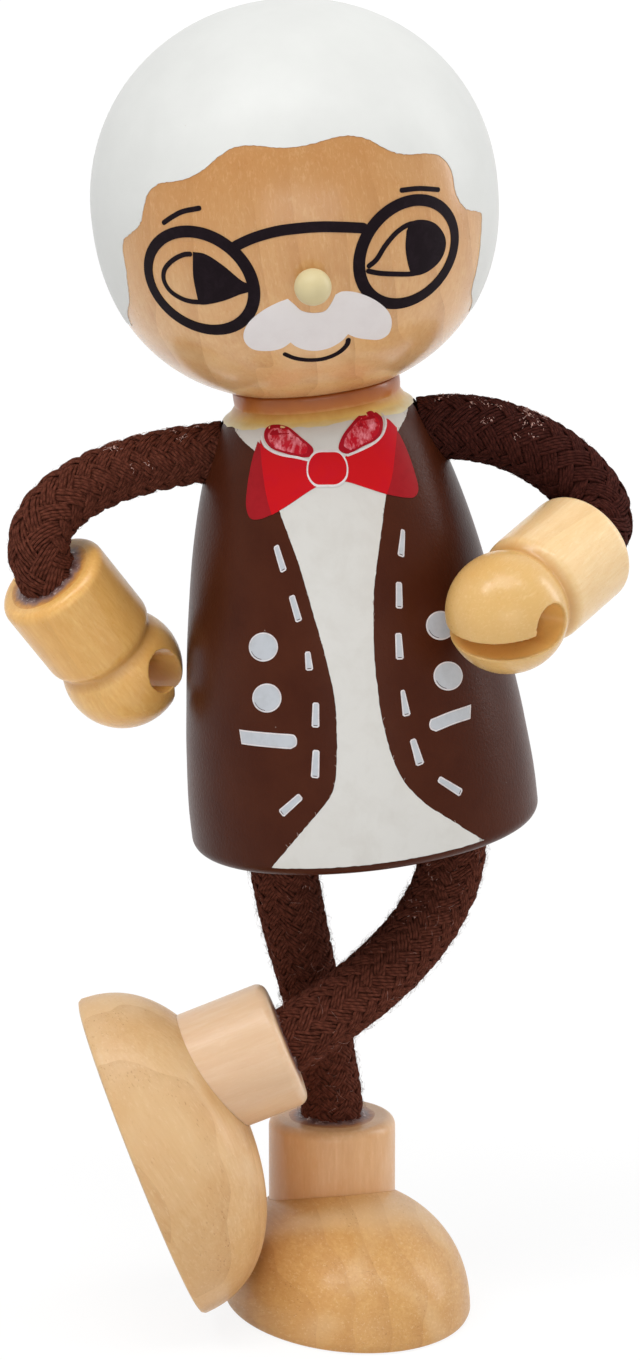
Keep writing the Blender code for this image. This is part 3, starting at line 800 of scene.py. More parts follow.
@dataclass(frozen=True)
class PhotoView:
    """The camera, where the photograph's stood."""

    place: Place = (-1.07 * MM, -509.07 * MM, 177.85 * MM)
    elevation: float = math.radians(13.5)
    height_angle: float = math.radians(13.0)
    width: int = 640
    height: int = 1360
    near: float = 0.02
    far: float = 20.0

    def rays(self, pixels: Pairs) -> tuple[np.ndarray, np.ndarray]:
        """Rays through pixels of the photograph.

        Args:
            pixels: (x, y) pairs.
        Returns:
            The camera's place and one direction for each pixel, in the world.
        """
        pixels = np.asarray(pixels, float)
        scale = math.tan(self.height_angle / 2) * 2 / self.height
        across = (pixels[:, 0] - self.width / 2) * scale
        up = (self.height / 2 - pixels[:, 1]) * scale
        local = np.column_stack([across, up, -np.ones(len(pixels))])
        turn = np.array(Matrix.Rotation(math.pi / 2 - self.elevation, 3, "X"))
        return np.array(self.place), local @ turn.T

    def make(self) -> None:
        """Add the camera and look through it."""
        lens = bpy.data.cameras.new("photo_lens")
        lens.sensor_fit = "VERTICAL"
        lens.angle = self.height_angle
        lens.clip_start = self.near
        lens.clip_end = self.far
        camera = bpy.data.objects.new("photo_camera", lens)
        camera.location = self.place
        camera.rotation_euler = (math.pi / 2 - self.elevation, 0.0, 0.0)
        bpy.context.collection.objects.link(camera)
        bpy.context.scene.camera = camera


class TurnedForm:
    """A surface turned about the Z axis of its own placement."""

    MARCH = 0.4 * MM
    REACH = 70.0 * MM
    PROBE = 0.01 * MM

    def __init__(self, frame: Matrix) -> None:
        """Keep the placement."""
        self.frame = frame

    def excess(self, points: np.ndarray) -> np.ndarray:
        """How far outside the surface local points lie; negative is inside."""
        raise NotImplementedError

    def normals(self, points: np.ndarray) -> np.ndarray:
        """Outward unit normals at local points."""
        return unit(np.column_stack([self.excess(points + shift) - self.excess(points - shift)
                                     for shift in self.PROBE * np.eye(3)]))

    def cast(self, view: PhotoView, pixels: Pairs) -> np.ndarray:
        """Where pixels of the photograph meet the surface.

        Args:
            view: the camera.
            pixels: (x, y) pairs; one that misses gives the nearest place on its ray.
        Returns:
            Local points, one in each row.
        """
        place, rays = view.rays(pixels)
        back = np.array(self.frame.inverted())
        origin = back[:3, :3] @ place + back[:3, 3]
        rays = unit(rays @ back[:3, :3].T)
        start = np.linalg.norm(origin) - self.REACH / 2
        steps = start + self.MARCH * np.arange(round(self.REACH / self.MARCH))
        heights = np.stack([self.excess(origin + rays * step) for step in steps])
        below = heights < 0
        first = np.where(below.any(axis=0), below.argmax(axis=0), heights.argmin(axis=0))
        high = steps[first]
        low = high - self.MARCH
        for _ in range(24):
            middle = (low + high) / 2
            outside = self.excess(origin + rays * middle[:, None]) > 0
            low = np.where(outside, middle, low)
            high = np.where(outside, high, middle)
        return origin + rays * high[:, None]


class Chart:
    """Flat coordinates, in metres, on part of a turned surface."""

    def __init__(self, form: TurnedForm) -> None:
        """Keep the surface."""
        self.form = form

    def flat(self, points: np.ndarray) -> np.ndarray:
        """Flat coordinates of local points."""
        raise NotImplementedError

    def surface(self, flat: np.ndarray) -> np.ndarray:
        """Local points of flat coordinates."""
        raise NotImplementedError

    def lifted(self, flat: np.ndarray, lift: float) -> np.ndarray:
        """World points a little above the surface."""
        points = self.surface(flat)
        return moved(self.form.frame, points + self.form.normals(points) * lift)

    def from_photo(self, view: PhotoView, pixels: Pairs) -> np.ndarray:
        """Flat coordinates of pixels of the photograph."""
        return self.flat(self.form.cast(view, pixels))


class TorsoForm(TurnedForm):
    """The body's outside, from its profile."""

    def __init__(self, frame: Matrix, heights: np.ndarray, radii: np.ndarray) -> None:
        """Join the profile's points with a smooth curve that doesn't overshoot.

        Args:
            frame: the body's placement.
            heights: the profile's heights, rising.
            radii: the radius at each height.
        """
        super().__init__(frame)
        rise = np.diff(radii) / np.diff(heights)
        slopes = np.concatenate([[rise[0]], np.zeros(len(rise) - 1), [rise[-1]]])
        for i in range(1, len(rise)):
            if rise[i - 1] * rise[i] > 0:
                slopes[i] = 2 / (1 / rise[i - 1] + 1 / rise[i])
        self.heights = np.linspace(heights[0], heights[-1], 400)
        spot = np.clip(np.searchsorted(heights, self.heights) - 1, 0, len(rise) - 1)
        span = heights[spot + 1] - heights[spot]
        t = (self.heights - heights[spot]) / span
        self.radii = hermite(t, radii[spot], radii[spot + 1], slopes[spot] * span,
                             slopes[spot + 1] * span)

    def radius(self, heights: np.ndarray) -> np.ndarray:
        """The radius at heights above the hem."""
        return np.interp(heights, self.heights, self.radii)

    def excess(self, points: np.ndarray) -> np.ndarray:
        """How far outside the wall local points lie."""
        out = np.hypot(points[:, 0], points[:, 1]) - self.radius(points[:, 2])
        over = points[:, 2] - self.heights[-1]
        under = self.heights[0] - points[:, 2]
        return np.maximum(out, np.maximum(over, under))


class WrapChart(Chart):
    """The body's wall unrolled: distance round it from the front, and height."""

    def __init__(self, form: TorsoForm, radius: float) -> None:
        """Keep the wall and the radius that it is unrolled at."""
        super().__init__(form)
        self.radius = radius

    def flat(self, points: np.ndarray) -> np.ndarray:
        """Flat coordinates of local points."""
        turn = np.arctan2(points[:, 0], -points[:, 1])
        return np.column_stack([turn * self.radius, points[:, 2]])

    def surface(self, flat: np.ndarray) -> np.ndarray:
        """Local points of flat coordinates."""
        turn = flat[:, 0] / self.radius
        radius = self.form.radius(flat[:, 1])
        return np.column_stack([radius * np.sin(turn), -radius * np.cos(turn), flat[:, 1]])


class HeadForm(TurnedForm):
    """The head's outside: fuller than a ball at the chin."""

    def __init__(self, frame: Matrix, radius: float, crown: tuple[float, float],
                 chin: tuple[float, float]) -> None:
        """Keep its sizes.

        Args:
            frame: the head's placement, at its widest level.
            radius: its radius there.
            crown: height above that level, and roundness.
            chin: depth below that level, and roundness.
        """
        super().__init__(frame)
        self.radius = radius
        self.crown = crown
        self.chin = chin

    def _halves(self, heights: np.ndarray) -> tuple[np.ndarray, np.ndarray]:
        """The height and the roundness that hold at each height."""
        upper = heights >= 0
        return (np.where(upper, self.crown[0], self.chin[0]),
                np.where(upper, self.crown[1], self.chin[1]))

    def reach(self, rays: np.ndarray) -> np.ndarray:
        """Distances from the centre to the surface along unit rays."""
        half, power = self._halves(rays[:, 2])
        across = np.hypot(rays[:, 0], rays[:, 1]) / self.radius
        along = np.abs(rays[:, 2]) / half
        return (across ** power + along ** power) ** (-1 / power)

    def excess(self, points: np.ndarray) -> np.ndarray:
        """How far outside the surface local points lie, nearly."""
        far = np.linalg.norm(points, axis=1)
        return far - self.reach(points / far[:, None])

    def at_level(self, turns: np.ndarray, height: np.ndarray) -> np.ndarray:
        """Local points at turns from the front, to the doll's left, and at heights."""
        half, power = self._halves(height)
        radius = self.radius * (1 - (np.abs(height) / half) ** power) ** (1 / power)
        return np.column_stack([radius * np.sin(turns), -radius * np.cos(turns), height])


class DomeChart(Chart):
    """Part of the head flattened about a pole."""

    def __init__(self, form: HeadForm, pole: Vector) -> None:
        """Keep the surface and the flat axes.

        Args:
            form: the head's surface.
            pole: the local direction at the flat origin.
        """
        super().__init__(form)
        pole = Vector(pole).normalized()
        across = FORWARD.cross(pole) if abs(pole.dot(FORWARD)) < 0.7 else pole.cross(-UP)
        across.normalize()
        self.axes = np.array([across, pole.cross(across), pole])

    def flat(self, points: np.ndarray) -> np.ndarray:
        """Flat coordinates of local points."""
        rays = unit(points)
        a, b, c = (rays @ self.axes.T).T
        bend = np.arctan2(np.hypot(a, b), c)
        share = self.form.radius * bend / np.maximum(np.hypot(a, b), 1e-9)
        return np.column_stack([a * share, b * share])

    def surface(self, flat: np.ndarray) -> np.ndarray:
        """Local points of flat coordinates."""
        far = np.linalg.norm(flat, axis=1)
        bend = far / self.form.radius
        share = np.sin(bend) / np.maximum(far, 1e-12)
        local = np.column_stack([flat[:, 0] * share, flat[:, 1] * share, np.cos(bend)])
        rays = local @ self.axes
        return rays * self.form.reach(rays)[:, None]


def encloses(outline: np.ndarray, points: np.ndarray) -> np.ndarray:
    """Which flat points lie inside a closed flat outline."""
    x, y = points.T
    inside = np.zeros(len(points), bool)
    for (x0, y0), (x1, y1) in zip(outline, np.roll(outline, -1, axis=0)):
        if y0 != y1:
            spans = (y0 > y) != (y1 > y)
            inside ^= spans & (x < (x1 - x0) * (y - y0) / (y1 - y0) + x0)
    return inside


@dataclass
class PaintLayers:
    """Thin layers of paint or ink on one chart, each with its own real thickness."""

    chart: Chart
    view: PhotoView
    sunk: float = -0.03 * MM
    step: float = 0.12 * MM
    mesh_pitch: float = 0.45 * MM

    CAP_ANGLES = (14, 32, 50, 70)
    COLUMNS = (-1.0, -0.5, 0.0, 0.5, 1.0)

    def line(self, pixels: Pairs, closed: bool = False) -> np.ndarray:
        """A smooth flat line through pixels of the photograph."""
        return smooth_curve(self.chart.from_photo(self.view, pixels), self.step, closed)

    def outline(self, *edges: Pairs) -> np.ndarray:
        """A closed flat outline.

        Args:
            edges: runs of pixels, smooth in themselves, with a corner where two meet.
        Returns:
            Flat points round the outline.
        """
        if len(edges) == 1:
            return self.line(edges[0], closed=True)
        return np.vstack([self.line(edge)[:-1] for edge in edges])

    @staticmethod
    def ragged(outline: np.ndarray, depth: float, pitch: float, seed: int) -> np.ndarray:
        """A closed flat outline with the small unevenness of a painted edge.

        Args:
            outline: the even outline.
            depth: how far its points stray, as a standard deviation.
            pitch: the distance between one stray and the next.
            seed: which uneven outline it is.
        Returns:
            The uneven outline, with as many points.
        """
        steps = np.linalg.norm(np.roll(outline, -1, axis=0) - outline, axis=1)
        places = np.concatenate([[0.0], np.cumsum(steps)[:-1]]) / steps.sum()
        strays = np.random.default_rng(seed).normal(size=max(8, round(steps.sum() / pitch)))
        grid = np.linspace(0.0, 1.0, len(strays) + 1)
        shift = np.interp(places, grid, np.append(strays, strays[0]))
        return outline + across(outline) * (shift * depth)[:, None]

    def fill(self, shape: Shape, outline: np.ndarray, lift: float, slot: int = 0) -> None:
        """Add a layer that fills an outline.

        Args:
            shape: what it is added to.
            outline: a closed flat outline.
            lift: how proud its face stands.
            slot: its material slot.
        """
        pitch = self.mesh_pitch
        low, high = outline.min(axis=0), outline.max(axis=0)
        rows = [np.zeros((0, 2))]
        for i, height in enumerate(np.arange(low[1], high[1], pitch * math.sqrt(0.75))):
            row = np.arange(low[0] + (i % 2) * pitch / 2, high[0], pitch)
            rows.append(np.column_stack([row, np.full(len(row), height)]))
        grid = np.vstack(rows)
        grid = grid[encloses(outline, grid)]
        gap = np.full(len(grid), np.inf)
        for point in outline:
            gap = np.minimum(gap, ((grid - point) ** 2).sum(axis=1))
        grid = grid[gap > (pitch * 0.45) ** 2]
        count = len(outline)
        flat = np.vstack([outline, grid]) / MM
        loop = [(i, (i + 1) % count) for i in range(count)]
        points, _, faces, *_ = delaunay_2d_cdt([Vector(p) for p in flat], loop, [], 1, 1e-5)
        flat = np.array([p[:2] for p in points]) * MM
        count = len(flat)
        sides = {(a, b) for face in faces for a, b in zip(face, face[1:] + face[:1])}
        walls = [(b, a, a + count, b + count) for a, b in sides if (b, a) not in sides]
        bottom = [tuple(i + count for i in reversed(face)) for face in faces]
        layers = [self.chart.lifted(flat, lift), self.chart.lifted(flat, self.sunk)]
        shape.add(np.vstack(layers), [tuple(face) for face in faces] + bottom + walls, slot)

    def stroke(self, shape: Shape, line: np.ndarray, width: float, lift: float,
               closed: bool = False, slot: int = 0) -> None:
        """Add a drawn line.

        Args:
            shape: what it is added to.
            line: its flat centre line.
            width: its width.
            lift: how proud its face stands.
            closed: whether it is a ring; if not, its ends are round.
            slot: its material slot.
        """
        half = width / 2
        if closed:
            centre, square = line, across(line)
            widths = np.full(len(line), half)
        else:
            lengths = run_lengths(line)
            total = lengths[-1]
            caps = half * (1 - np.cos(np.radians(self.CAP_ANGLES)))
            middle = np.linspace(half, total - half, max(2, round(total / self.step)))
            places = np.concatenate([caps, middle, total - caps[::-1]])
            centre = read_off(places, lengths, line)
            square = squared(np.gradient(centre, axis=0))
            end = np.minimum(np.minimum(places, total - places) / half, 1.0)
            widths = half * np.sqrt(np.maximum(1 - (1 - end) ** 2, 0.01))
        flat = np.stack([centre + square * (widths * share)[:, None]
                         for share in self.COLUMNS], axis=1)
        rows, wide = flat.shape[:2]
        top, under = (self.chart.lifted(flat.reshape(-1, 2), height).reshape(rows, wide, 3)
                      for height in (lift, self.sunk))
        rings = np.concatenate([top, under[:, ::-1]], axis=1)
        shape.add(rings.reshape(-1, 3), ring_faces(rows, 2 * wide, closed), slot)


@dataclass
class Torso:
    """The turned body, drilled for neck and limbs, with its printed jacket front."""

    height: float = 38.3 * MM
    hem_radius: float = 15.3 * MM
    hem_rounding: float = 1.2 * MM
    lean: float = math.radians(6.4)
    hem_centre: Place = (3.0 * MM, -1.0 * MM, 42.4 * MM)
    neck_seat_radius: float = 7.5 * MM
    neck_hole_radius: float = 3.3 * MM
    neck_hole_depth: float = 11.3 * MM
    shoulder_drop: float = 3.2 * MM
    shoulder_reach: float = 9.7 * MM
    arm_hole_depth: float = 5.3 * MM
    leg_spread: float = 7.7 * MM
    leg_hole_depth: float = 8.3 * MM
    arm_hole_radii: tuple[float, float] = (2.76 * MM, 3.0 * MM)
    leg_hole_radius: float = 3.1 * MM
    sides: int = 200
    rings: int = 90
    hole_sides: int = 96
    profile_shares: Pairs = (
        (1, 0.070), (0.974, 0.230), (0.941, 0.345), (0.902, 0.467), (0.856, 0.580),
        (0.808, 0.682), (0.738, 0.796), (0.672, 0.880), (0.606, 0.946), (0.548, 0.984))
    paint: SatinPaint = SatinPaint(
        "jacket_satin_paint", srgb(66, 28, 14), srgb(76, 36, 20), srgb(190, 170, 160),
        roughness=0.31, ripple=0.030 * MM, gloss=0.085, peel_size=0.30 * MM)

    @property
    def frame(self) -> Matrix:
        """Its placement: the hem's centre, leaning to the doll's right."""
        return Matrix.Translation(self.hem_centre) @ Matrix.Rotation(-self.lean, 4, "Y")

    def form(self) -> TorsoForm:
        """Its outside wall."""
        shares = np.array(self.profile_shares)
        heights = np.concatenate([[self.hem_rounding], shares[:, 1] * self.height, [self.height]])
        radii = np.concatenate([[self.hem_radius], shares[:, 0] * self.hem_radius,
                                [self.neck_seat_radius]])
        return TorsoForm(self.frame, heights, radii)

    def shoulder(self, side: int) -> Vector:
        """Where a cord leaves its arm hole; side is -1 for the right arm."""
        height = self.height - self.shoulder_drop
        return self.frame @ Vector((side * self.shoulder_reach, 0.0, height))

    def hip(self, side: int) -> Vector:
        """Where a cord leaves its leg hole."""
        return self.frame @ Vector((side * self.leg_spread, 0.0, 0.0))

    def build(self) -> None:
        """Turn the body and drill it."""
        heights = np.linspace(self.hem_rounding, self.height, self.rings)[1:]
        depth = self.height - self.neck_hole_depth
        profile = [(0.0, 0.0), *rounded(self.hem_radius, self.hem_rounding),
                   *zip(self.form().radius(heights), heights),
                   (self.neck_hole_radius, self.height), (self.neck_hole_radius, depth),
                   (0, depth)]
        shape = Shape()
        shape.lathe(profile, self.sides, self.frame)
        piece = shape.piece("turned_body", [self.paint.make(self.frame)])
        turn = self.frame.to_3x3()
        up = turn @ UP
        tools = []
        for side, radius in zip((-1, 1), self.arm_hole_radii):
            out = turn @ Vector((side, 0.0, 0.0))
            seat = frame_along(self.shoulder(side) - out * self.arm_hole_depth, out, FORWARD)
            tools.append(drill(seat, radius, 0.0, self.arm_hole_depth + radius * 2,
                               self.hole_sides))
            seat = frame_along(self.hip(side) - up * self.hem_rounding, up, FORWARD)
            tools.append(drill(seat, self.leg_hole_radius, 0.0,
                               self.leg_hole_depth + self.hem_rounding, self.hole_sides))
        carve(piece, tools)
        fit(piece, "torso", Slot.JACKET, ["torso"])


@dataclass
class JacketFront:
    """What is printed on the body: shirt, bow tie, stitches, buttons and pocket flaps."""

    torso: Torso
    view: PhotoView
    shirt_lift: float = 0.030 * MM
    edge_lift: float = 0.045 * MM
    red_lift: float = 0.055 * MM
    bright_lift: float = 0.067 * MM
    loop_lift: float = 0.074 * MM
    loop_inner_share: float = 0.80
    outline_lift: float = 0.080 * MM
    knot_lift: float = 0.090 * MM
    knot_line_lift: float = 0.105 * MM
    shirt_hem: float = 0.9 * MM
    shirt_hem_slack: float = 0.9
    shirt_top_share: float = 0.999
    shirt_strays: tuple[float, float] = (0.018 * MM, 0.35 * MM)
    loop_strays: tuple[float, float] = (0.03 * MM, 0.3 * MM)
    white_line: float = 0.20 * MM
    button_radius: float = 14.5
    stitch_width: float = 0.76 * MM
    stitch_start: tuple[float, float] = (0.5, 0.88)
    stitch_end: tuple[float, float] = (0.92, 1.04)
    stitch_corner: tuple[float, float] = (0.16, 0.6)
    stitch_edge: float = 0.11 * MM
    miss_lift: float = 0.051 * MM
    miss_place: float = 0.17 * MM
    miss_width: float = 0.06 * MM
    miss_reach: float = 0.24
    button_miss_width: float = 0.048 * MM
    button_miss_share: float = 0.86
    button_miss_span: tuple[float, float] = (98.0, 160.0)
    hairs: int = 26
    hair_length: tuple[float, float] = (0.12 * MM, 0.34 * MM)
    hair_width: float = 0.04 * MM
    hair_lean: tuple[float, float] = (0.35, 0.3)

    SHIRT_LEFT: Pairs = (
        (252.5, 416), (266, 465), (279.5, 511), (298, 562), (314, 616),
        (328, 667), (335, 702), (337, 747), (333, 791), (320, 810.5),
        (301, 833), (271, 868))
    SHIRT_RIGHT: Pairs = (
        (485, 841), (454, 822), (422, 801), (400, 775), (384, 728),
        (376, 677), (373.6, 635), (374.5, 584), (381, 533), (386, 495),
        (391, 447), (395, 399))
    LEFT_WING_TOP: Pairs = ((329, 469), (308, 459), (282, 455), (265, 448),
                             (258.1, 441.5))
    LEFT_WING_SIDE: Pairs = ((258.1, 441.5), (252, 462), (247.5, 488), (246.5, 506),
                              (250, 517.5), (258, 519.5), (279, 511), (310.5, 490.5),
                              (329, 480))
    RIGHT_WING_TOP: Pairs = ((327, 480), (347, 482), (368, 488.5), (385.5, 494),
                              (403, 497.5))
    RIGHT_WING_SIDE: Pairs = ((403, 497.5), (414, 497), (418, 489.5), (414, 471.5),
                               (406.5, 450), (397, 431), (386.6, 418.9))
    RIGHT_WING_INNER: Pairs = ((386.6, 418.9), (383, 432), (371, 445.5), (347.5, 455.5),
                                (327, 469))
    LEFT_BRIGHT_EDGE: Pairs = ((260.5, 440), (262, 462), (267, 497), (272, 515))
    RIGHT_BRIGHT_EDGE: Pairs = ((396.5, 428), (395, 450), (391, 480), (386, 496))
    LEFT_LOOP: Pairs = (
        (264.4, 436.5), (266.2, 429), (273.5, 425.2), (283.2, 425.8), (291, 429),
        (299.5, 436), (313.5, 449.5), (311, 456), (304, 457.5), (285, 453.5),
        (270, 447))
    RIGHT_LOOP: Pairs = (
        (372.9, 411.2), (381, 417), (382.6, 427), (378.9, 437), (362, 447),
        (346.2, 453.8), (338.6, 449), (341.4, 438), (351.1, 424.5), (360.8, 414.8))
    LEFT_LOOP_LINE: Pairs = ((261.8, 436), (264.5, 444.5), (270, 450), (281, 454.7),
                              (297, 457.6), (309, 460.5))
    RIGHT_LOOP_LINE: Pairs = ((346.8, 455.8), (362, 449.5), (376, 441.5), (383.5, 432),
                               (385.3, 420), (381.5, 413.5))
    KNOT: Pairs = (
        (327, 451.2), (340, 453), (346.4, 463), (346.6, 476), (339, 484.6),
        (327, 486), (314.5, 484.6), (308, 475), (308.6, 462), (315, 453))
    LEFT_STITCHES: Sequence[Pairs] = (
        ((276, 545.5), (284, 571.5)), ((291.6, 595.5), (299.2, 621.5)),
        ((307.6, 651.5), (309.6, 670.5)), ((315.9, 702.5), (315.5, 727.5)),
        ((316.2, 750), (315, 778)), ((301, 796), (281, 813.8)))
    RIGHT_STITCHES: Sequence[Pairs] = (
        ((402.9, 529.5), (400.7, 556.5)), ((398.8, 582), (399.2, 608.5)),
        ((398.2, 633), (399.8, 659.5)), ((402.4, 690), (406.8, 716)),
        ((412.5, 739), (420.3, 765)), ((438.5, 778.8), (461.2, 793)))
    BUTTONS: Pairs = ((263.5, 647), (267, 698), (440.5, 625.5), (448, 676))
    LEFT_POCKET: Sequence[Pairs] = (
        ((239.5, 729.5), (241.7, 744)), ((241.7, 744), (266, 747), (291, 749)),
        ((291, 749), (296.3, 745.5), (297, 740), (294.5, 735.2), (289.5, 734)),
        ((289.5, 734), (265, 732.3), (239.5, 729.5)))
    RIGHT_POCKET: Sequence[Pairs] = (
        ((470.8, 704.5), (470.2, 718.8)), ((470.2, 718.8), (453, 724.5), (436, 731.5)),
        ((436, 731.5), (430.5, 729), (429.2, 724), (430.8, 719.2)),
        ((430.8, 719.2), (450, 711.5), (470.8, 704.5)))

    def __post_init__(self) -> None:
        """Unroll the body's wall and mix the inks."""
        chart = WrapChart(self.torso.form(), self.torso.hem_radius)
        self.layers = PaintLayers(chart, self.view)
        self.white = PrintInk("shirt_white_ink", srgb(217, 215, 210), srgb(209, 206, 200), 0.42,
                              3.0 * MM)
        self.edge = PrintInk("edge_white_ink", srgb(228, 222, 222), srgb(205, 190, 190))
        self.red = PrintInk("tie_red_ink", srgb(201, 18, 26), srgb(194, 12, 38), 0.36, 3.0 * MM)
        self.dull_red = PrintInk("tie_dull_red_ink", srgb(162, 26, 34), srgb(152, 22, 30))
        self.loop_red = PrintInk("tie_loop_ink", srgb(194, 18, 38), srgb(238, 150, 162), 0.3,
                                 0.60 * MM, (0.44, 0.66), (1.0, 0.6, 0.45))
        self.loop_rim = PrintInk("tie_loop_rim_ink", srgb(170, 14, 34), srgb(160, 12, 30))
        self.grey = PrintInk("trim_grey_ink", srgb(194, 198, 204), srgb(184, 188, 193))

    def _seat(self, name: str, shape: Shape, inks: Sequence[PrintInk]) -> None:
        """Seat one print on the body."""
        fit(shape.piece(name, [ink.make() for ink in inks]), "torso", Slot.JACKET)

    def _shirt(self) -> None:
        """The white shirt front, which runs up under the neck ring."""
        layers = self.layers
        left, right = layers.line(self.SHIRT_LEFT), layers.line(self.SHIRT_RIGHT)
        for side in (left, right):
            side[:, 1] = np.maximum(side[:, 1], self.shirt_hem)
        top = self.torso.height * self.shirt_top_share
        corners = np.array([right[-1], (right[-1][0], top), (left[0][0], top), left[0]])
        hem = smooth_curve(np.array([left[-1], (left[-1] + right[0]) / 2, right[0]]), layers.step)
        outline = np.vstack([left[:-1], hem[:-1], right[:-1],
                             straight_runs(corners, layers.step, 3)])
        outline[:, 1] = np.minimum(outline[:, 1], top)
        outline = layers.ragged(outline, *self.shirt_strays, 7)
        outline[:, 1] = np.clip(outline[:, 1], self.shirt_hem * self.shirt_hem_slack, top)
        shape = Shape()
        layers.fill(shape, outline, self.shirt_lift)
        self._seat("shirt_print", shape, [self.white])

    def _tie(self) -> None:
        """The bow tie: wings, loops and knot, parted by white lines."""
        layers = self.layers
        shape = Shape()
        left_knot = (self.LEFT_WING_SIDE[-1], self.LEFT_WING_TOP[0])
        right_knot = (self.RIGHT_WING_INNER[-1], self.RIGHT_WING_TOP[0])
        wings = ((self.LEFT_WING_TOP, self.LEFT_WING_SIDE, left_knot),
                 (self.RIGHT_WING_TOP, self.RIGHT_WING_SIDE, self.RIGHT_WING_INNER, right_knot))
        bright = ((self.LEFT_BRIGHT_EDGE, (self.LEFT_BRIGHT_EDGE[-1],) + self.LEFT_WING_SIDE[6:],
                   left_knot, self.LEFT_WING_TOP[:4] + (self.LEFT_BRIGHT_EDGE[0],)),
                  (self.RIGHT_BRIGHT_EDGE, self.RIGHT_WING_TOP[3::-1], right_knot[::-1],
                   self.RIGHT_WING_INNER[::-1] + (self.RIGHT_BRIGHT_EDGE[0],)))
        for slot, (parts, lift) in enumerate(((wings, self.red_lift), (bright, self.bright_lift))):
            for edges in parts:
                layers.fill(shape, layers.outline(*edges), lift, slot)
        for loop in (self.LEFT_LOOP, self.RIGHT_LOOP):
            outline = layers.outline(loop)
            layers.fill(shape, outline, self.loop_lift, 4)
            middle = outline.mean(axis=0)
            inner = middle + (outline - middle) * self.loop_inner_share
            layers.fill(shape, layers.ragged(inner, *self.loop_strays, 9), self.outline_lift, 2)
        for line in (self.LEFT_LOOP_LINE, self.RIGHT_LOOP_LINE):
            layers.stroke(shape, layers.line(line), self.white_line, self.knot_lift, slot=3)
        knot = layers.outline(self.KNOT)
        layers.fill(shape, knot, self.knot_lift, 1)
        layers.stroke(shape, knot, self.white_line, self.knot_line_lift, closed=True, slot=3)
        self._seat("bow_tie_print", shape, (self.dull_red, self.red, self.loop_red, self.edge,
                                            self.loop_rim))

    def _grey(self, name: str, outlines: Sequence[np.ndarray]) -> None:
        """Grey prints, of closed flat outlines, that show a thin white edge."""
        shape = Shape()
        for outline in outlines:
            self.layers.fill(shape, outline, self.shirt_lift, 0)
            square = across(outline)
            inward = unit(outline.mean(axis=0) - outline)
            side = np.sign((square * inward).sum())
            self.layers.fill(shape, outline + square * side * self.stitch_edge, self.edge_lift, 1)
        self._seat(name, shape, [self.edge, self.grey])

    def _arc(self, middle: tuple[float, float], share: float, turns: np.ndarray) -> Pairs:
        """Pairs of an arc about a button's middle, at a share of the button's radius."""
        reach = self.button_radius * share
        return [(middle[0] + reach * math.cos(a), middle[1] + reach * math.sin(a))
                for a in turns]

    def _stitches(self) -> Iterable[tuple[np.ndarray, np.ndarray, np.ndarray, np.ndarray]]:
        """Each stitch's two ends, its direction and the direction across it."""
        for ends in (*self.LEFT_STITCHES, *self.RIGHT_STITCHES):
            start, end = self.layers.chart.from_photo(self.view, ends)
            ahead = (end - start) / np.linalg.norm(end - start)
            yield start, end, ahead, np.array([-ahead[1], ahead[0]])

    def _trims(self) -> None:
        """Buttons, stitches and pocket flaps."""
        layers = self.layers
        turns = np.linspace(0.0, math.tau, 20, endpoint=False)
        self._grey("button_prints", [layers.outline(self._arc(spot, 1.0, turns))
                                     for spot in self.BUTTONS])
        bars = []
        rng = np.random.default_rng(4)
        cut, flat = self.stitch_corner
        for start, end, ahead, square in self._stitches():
            square = square * self.stitch_width / 2
            narrow, wide = rng.uniform(*self.stitch_start), rng.uniform(*self.stitch_end)
            cap = ahead * self.stitch_width * cut
            corners = [start + square * narrow + cap, end + square * wide - cap,
                       end + square * wide * flat, end - square * wide * flat,
                       end - square * wide - cap, start - square * narrow + cap,
                       start - square * narrow * flat, start + square * narrow * flat]
            bars.append(straight_runs(np.array(corners + corners[:1]), layers.step, 2))
        self._grey("stitch_prints", bars)
        self._grey("pocket_prints", [layers.outline(*self.LEFT_POCKET),
                                     layers.outline(*self.RIGHT_POCKET)])

    def _misses(self) -> None:
        """Brown slivers where the grey misses its edge, and hairs of white by the shirt."""
        layers = self.layers
        shape = Shape()
        for _, end, ahead, square in self._stitches():
            square = square * self.stitch_width * self.miss_reach
            middle = end - ahead * self.miss_place
            layers.stroke(shape, np.array([middle - square, middle, middle + square]),
                          self.miss_width, self.miss_lift)
        turns = np.radians(np.linspace(*self.button_miss_span, 6))
        for spot in self.BUTTONS:
            arc = layers.line(self._arc(spot, self.button_miss_share, turns))
            layers.stroke(shape, arc, self.button_miss_width, self.miss_lift)
        rng = np.random.default_rng(15)
        lean, stray = self.hair_lean
        for out, edge in ((-1.0, self.SHIRT_LEFT), (1.0, self.SHIRT_RIGHT)):
            line = layers.line(edge)
            for spot in rng.uniform(0.05, 0.97, self.hairs):
                root = line[int(spot * (len(line) - 1))]
                reach = rng.uniform(*self.hair_length)
                tip = root + reach * np.array([out * lean + rng.normal(0.0, stray), 1.0])
                layers.stroke(shape, np.array([root, (root + tip) / 2, tip]), self.hair_width,
                              self.shirt_lift, slot=1)
        brown = PrintInk("print_miss_brown", srgb(66, 38, 34), srgb(54, 30, 26), 0.45)
        haze = PrintInk("print_hair_white", srgb(158, 134, 126), srgb(122, 96, 88), 0.45)
        self._seat("print_misses", shape, (brown, haze))

    def build(self) -> None:
        """Print everything."""
        self._shirt()
        self._tie()
        self._trims()
        self._misses()


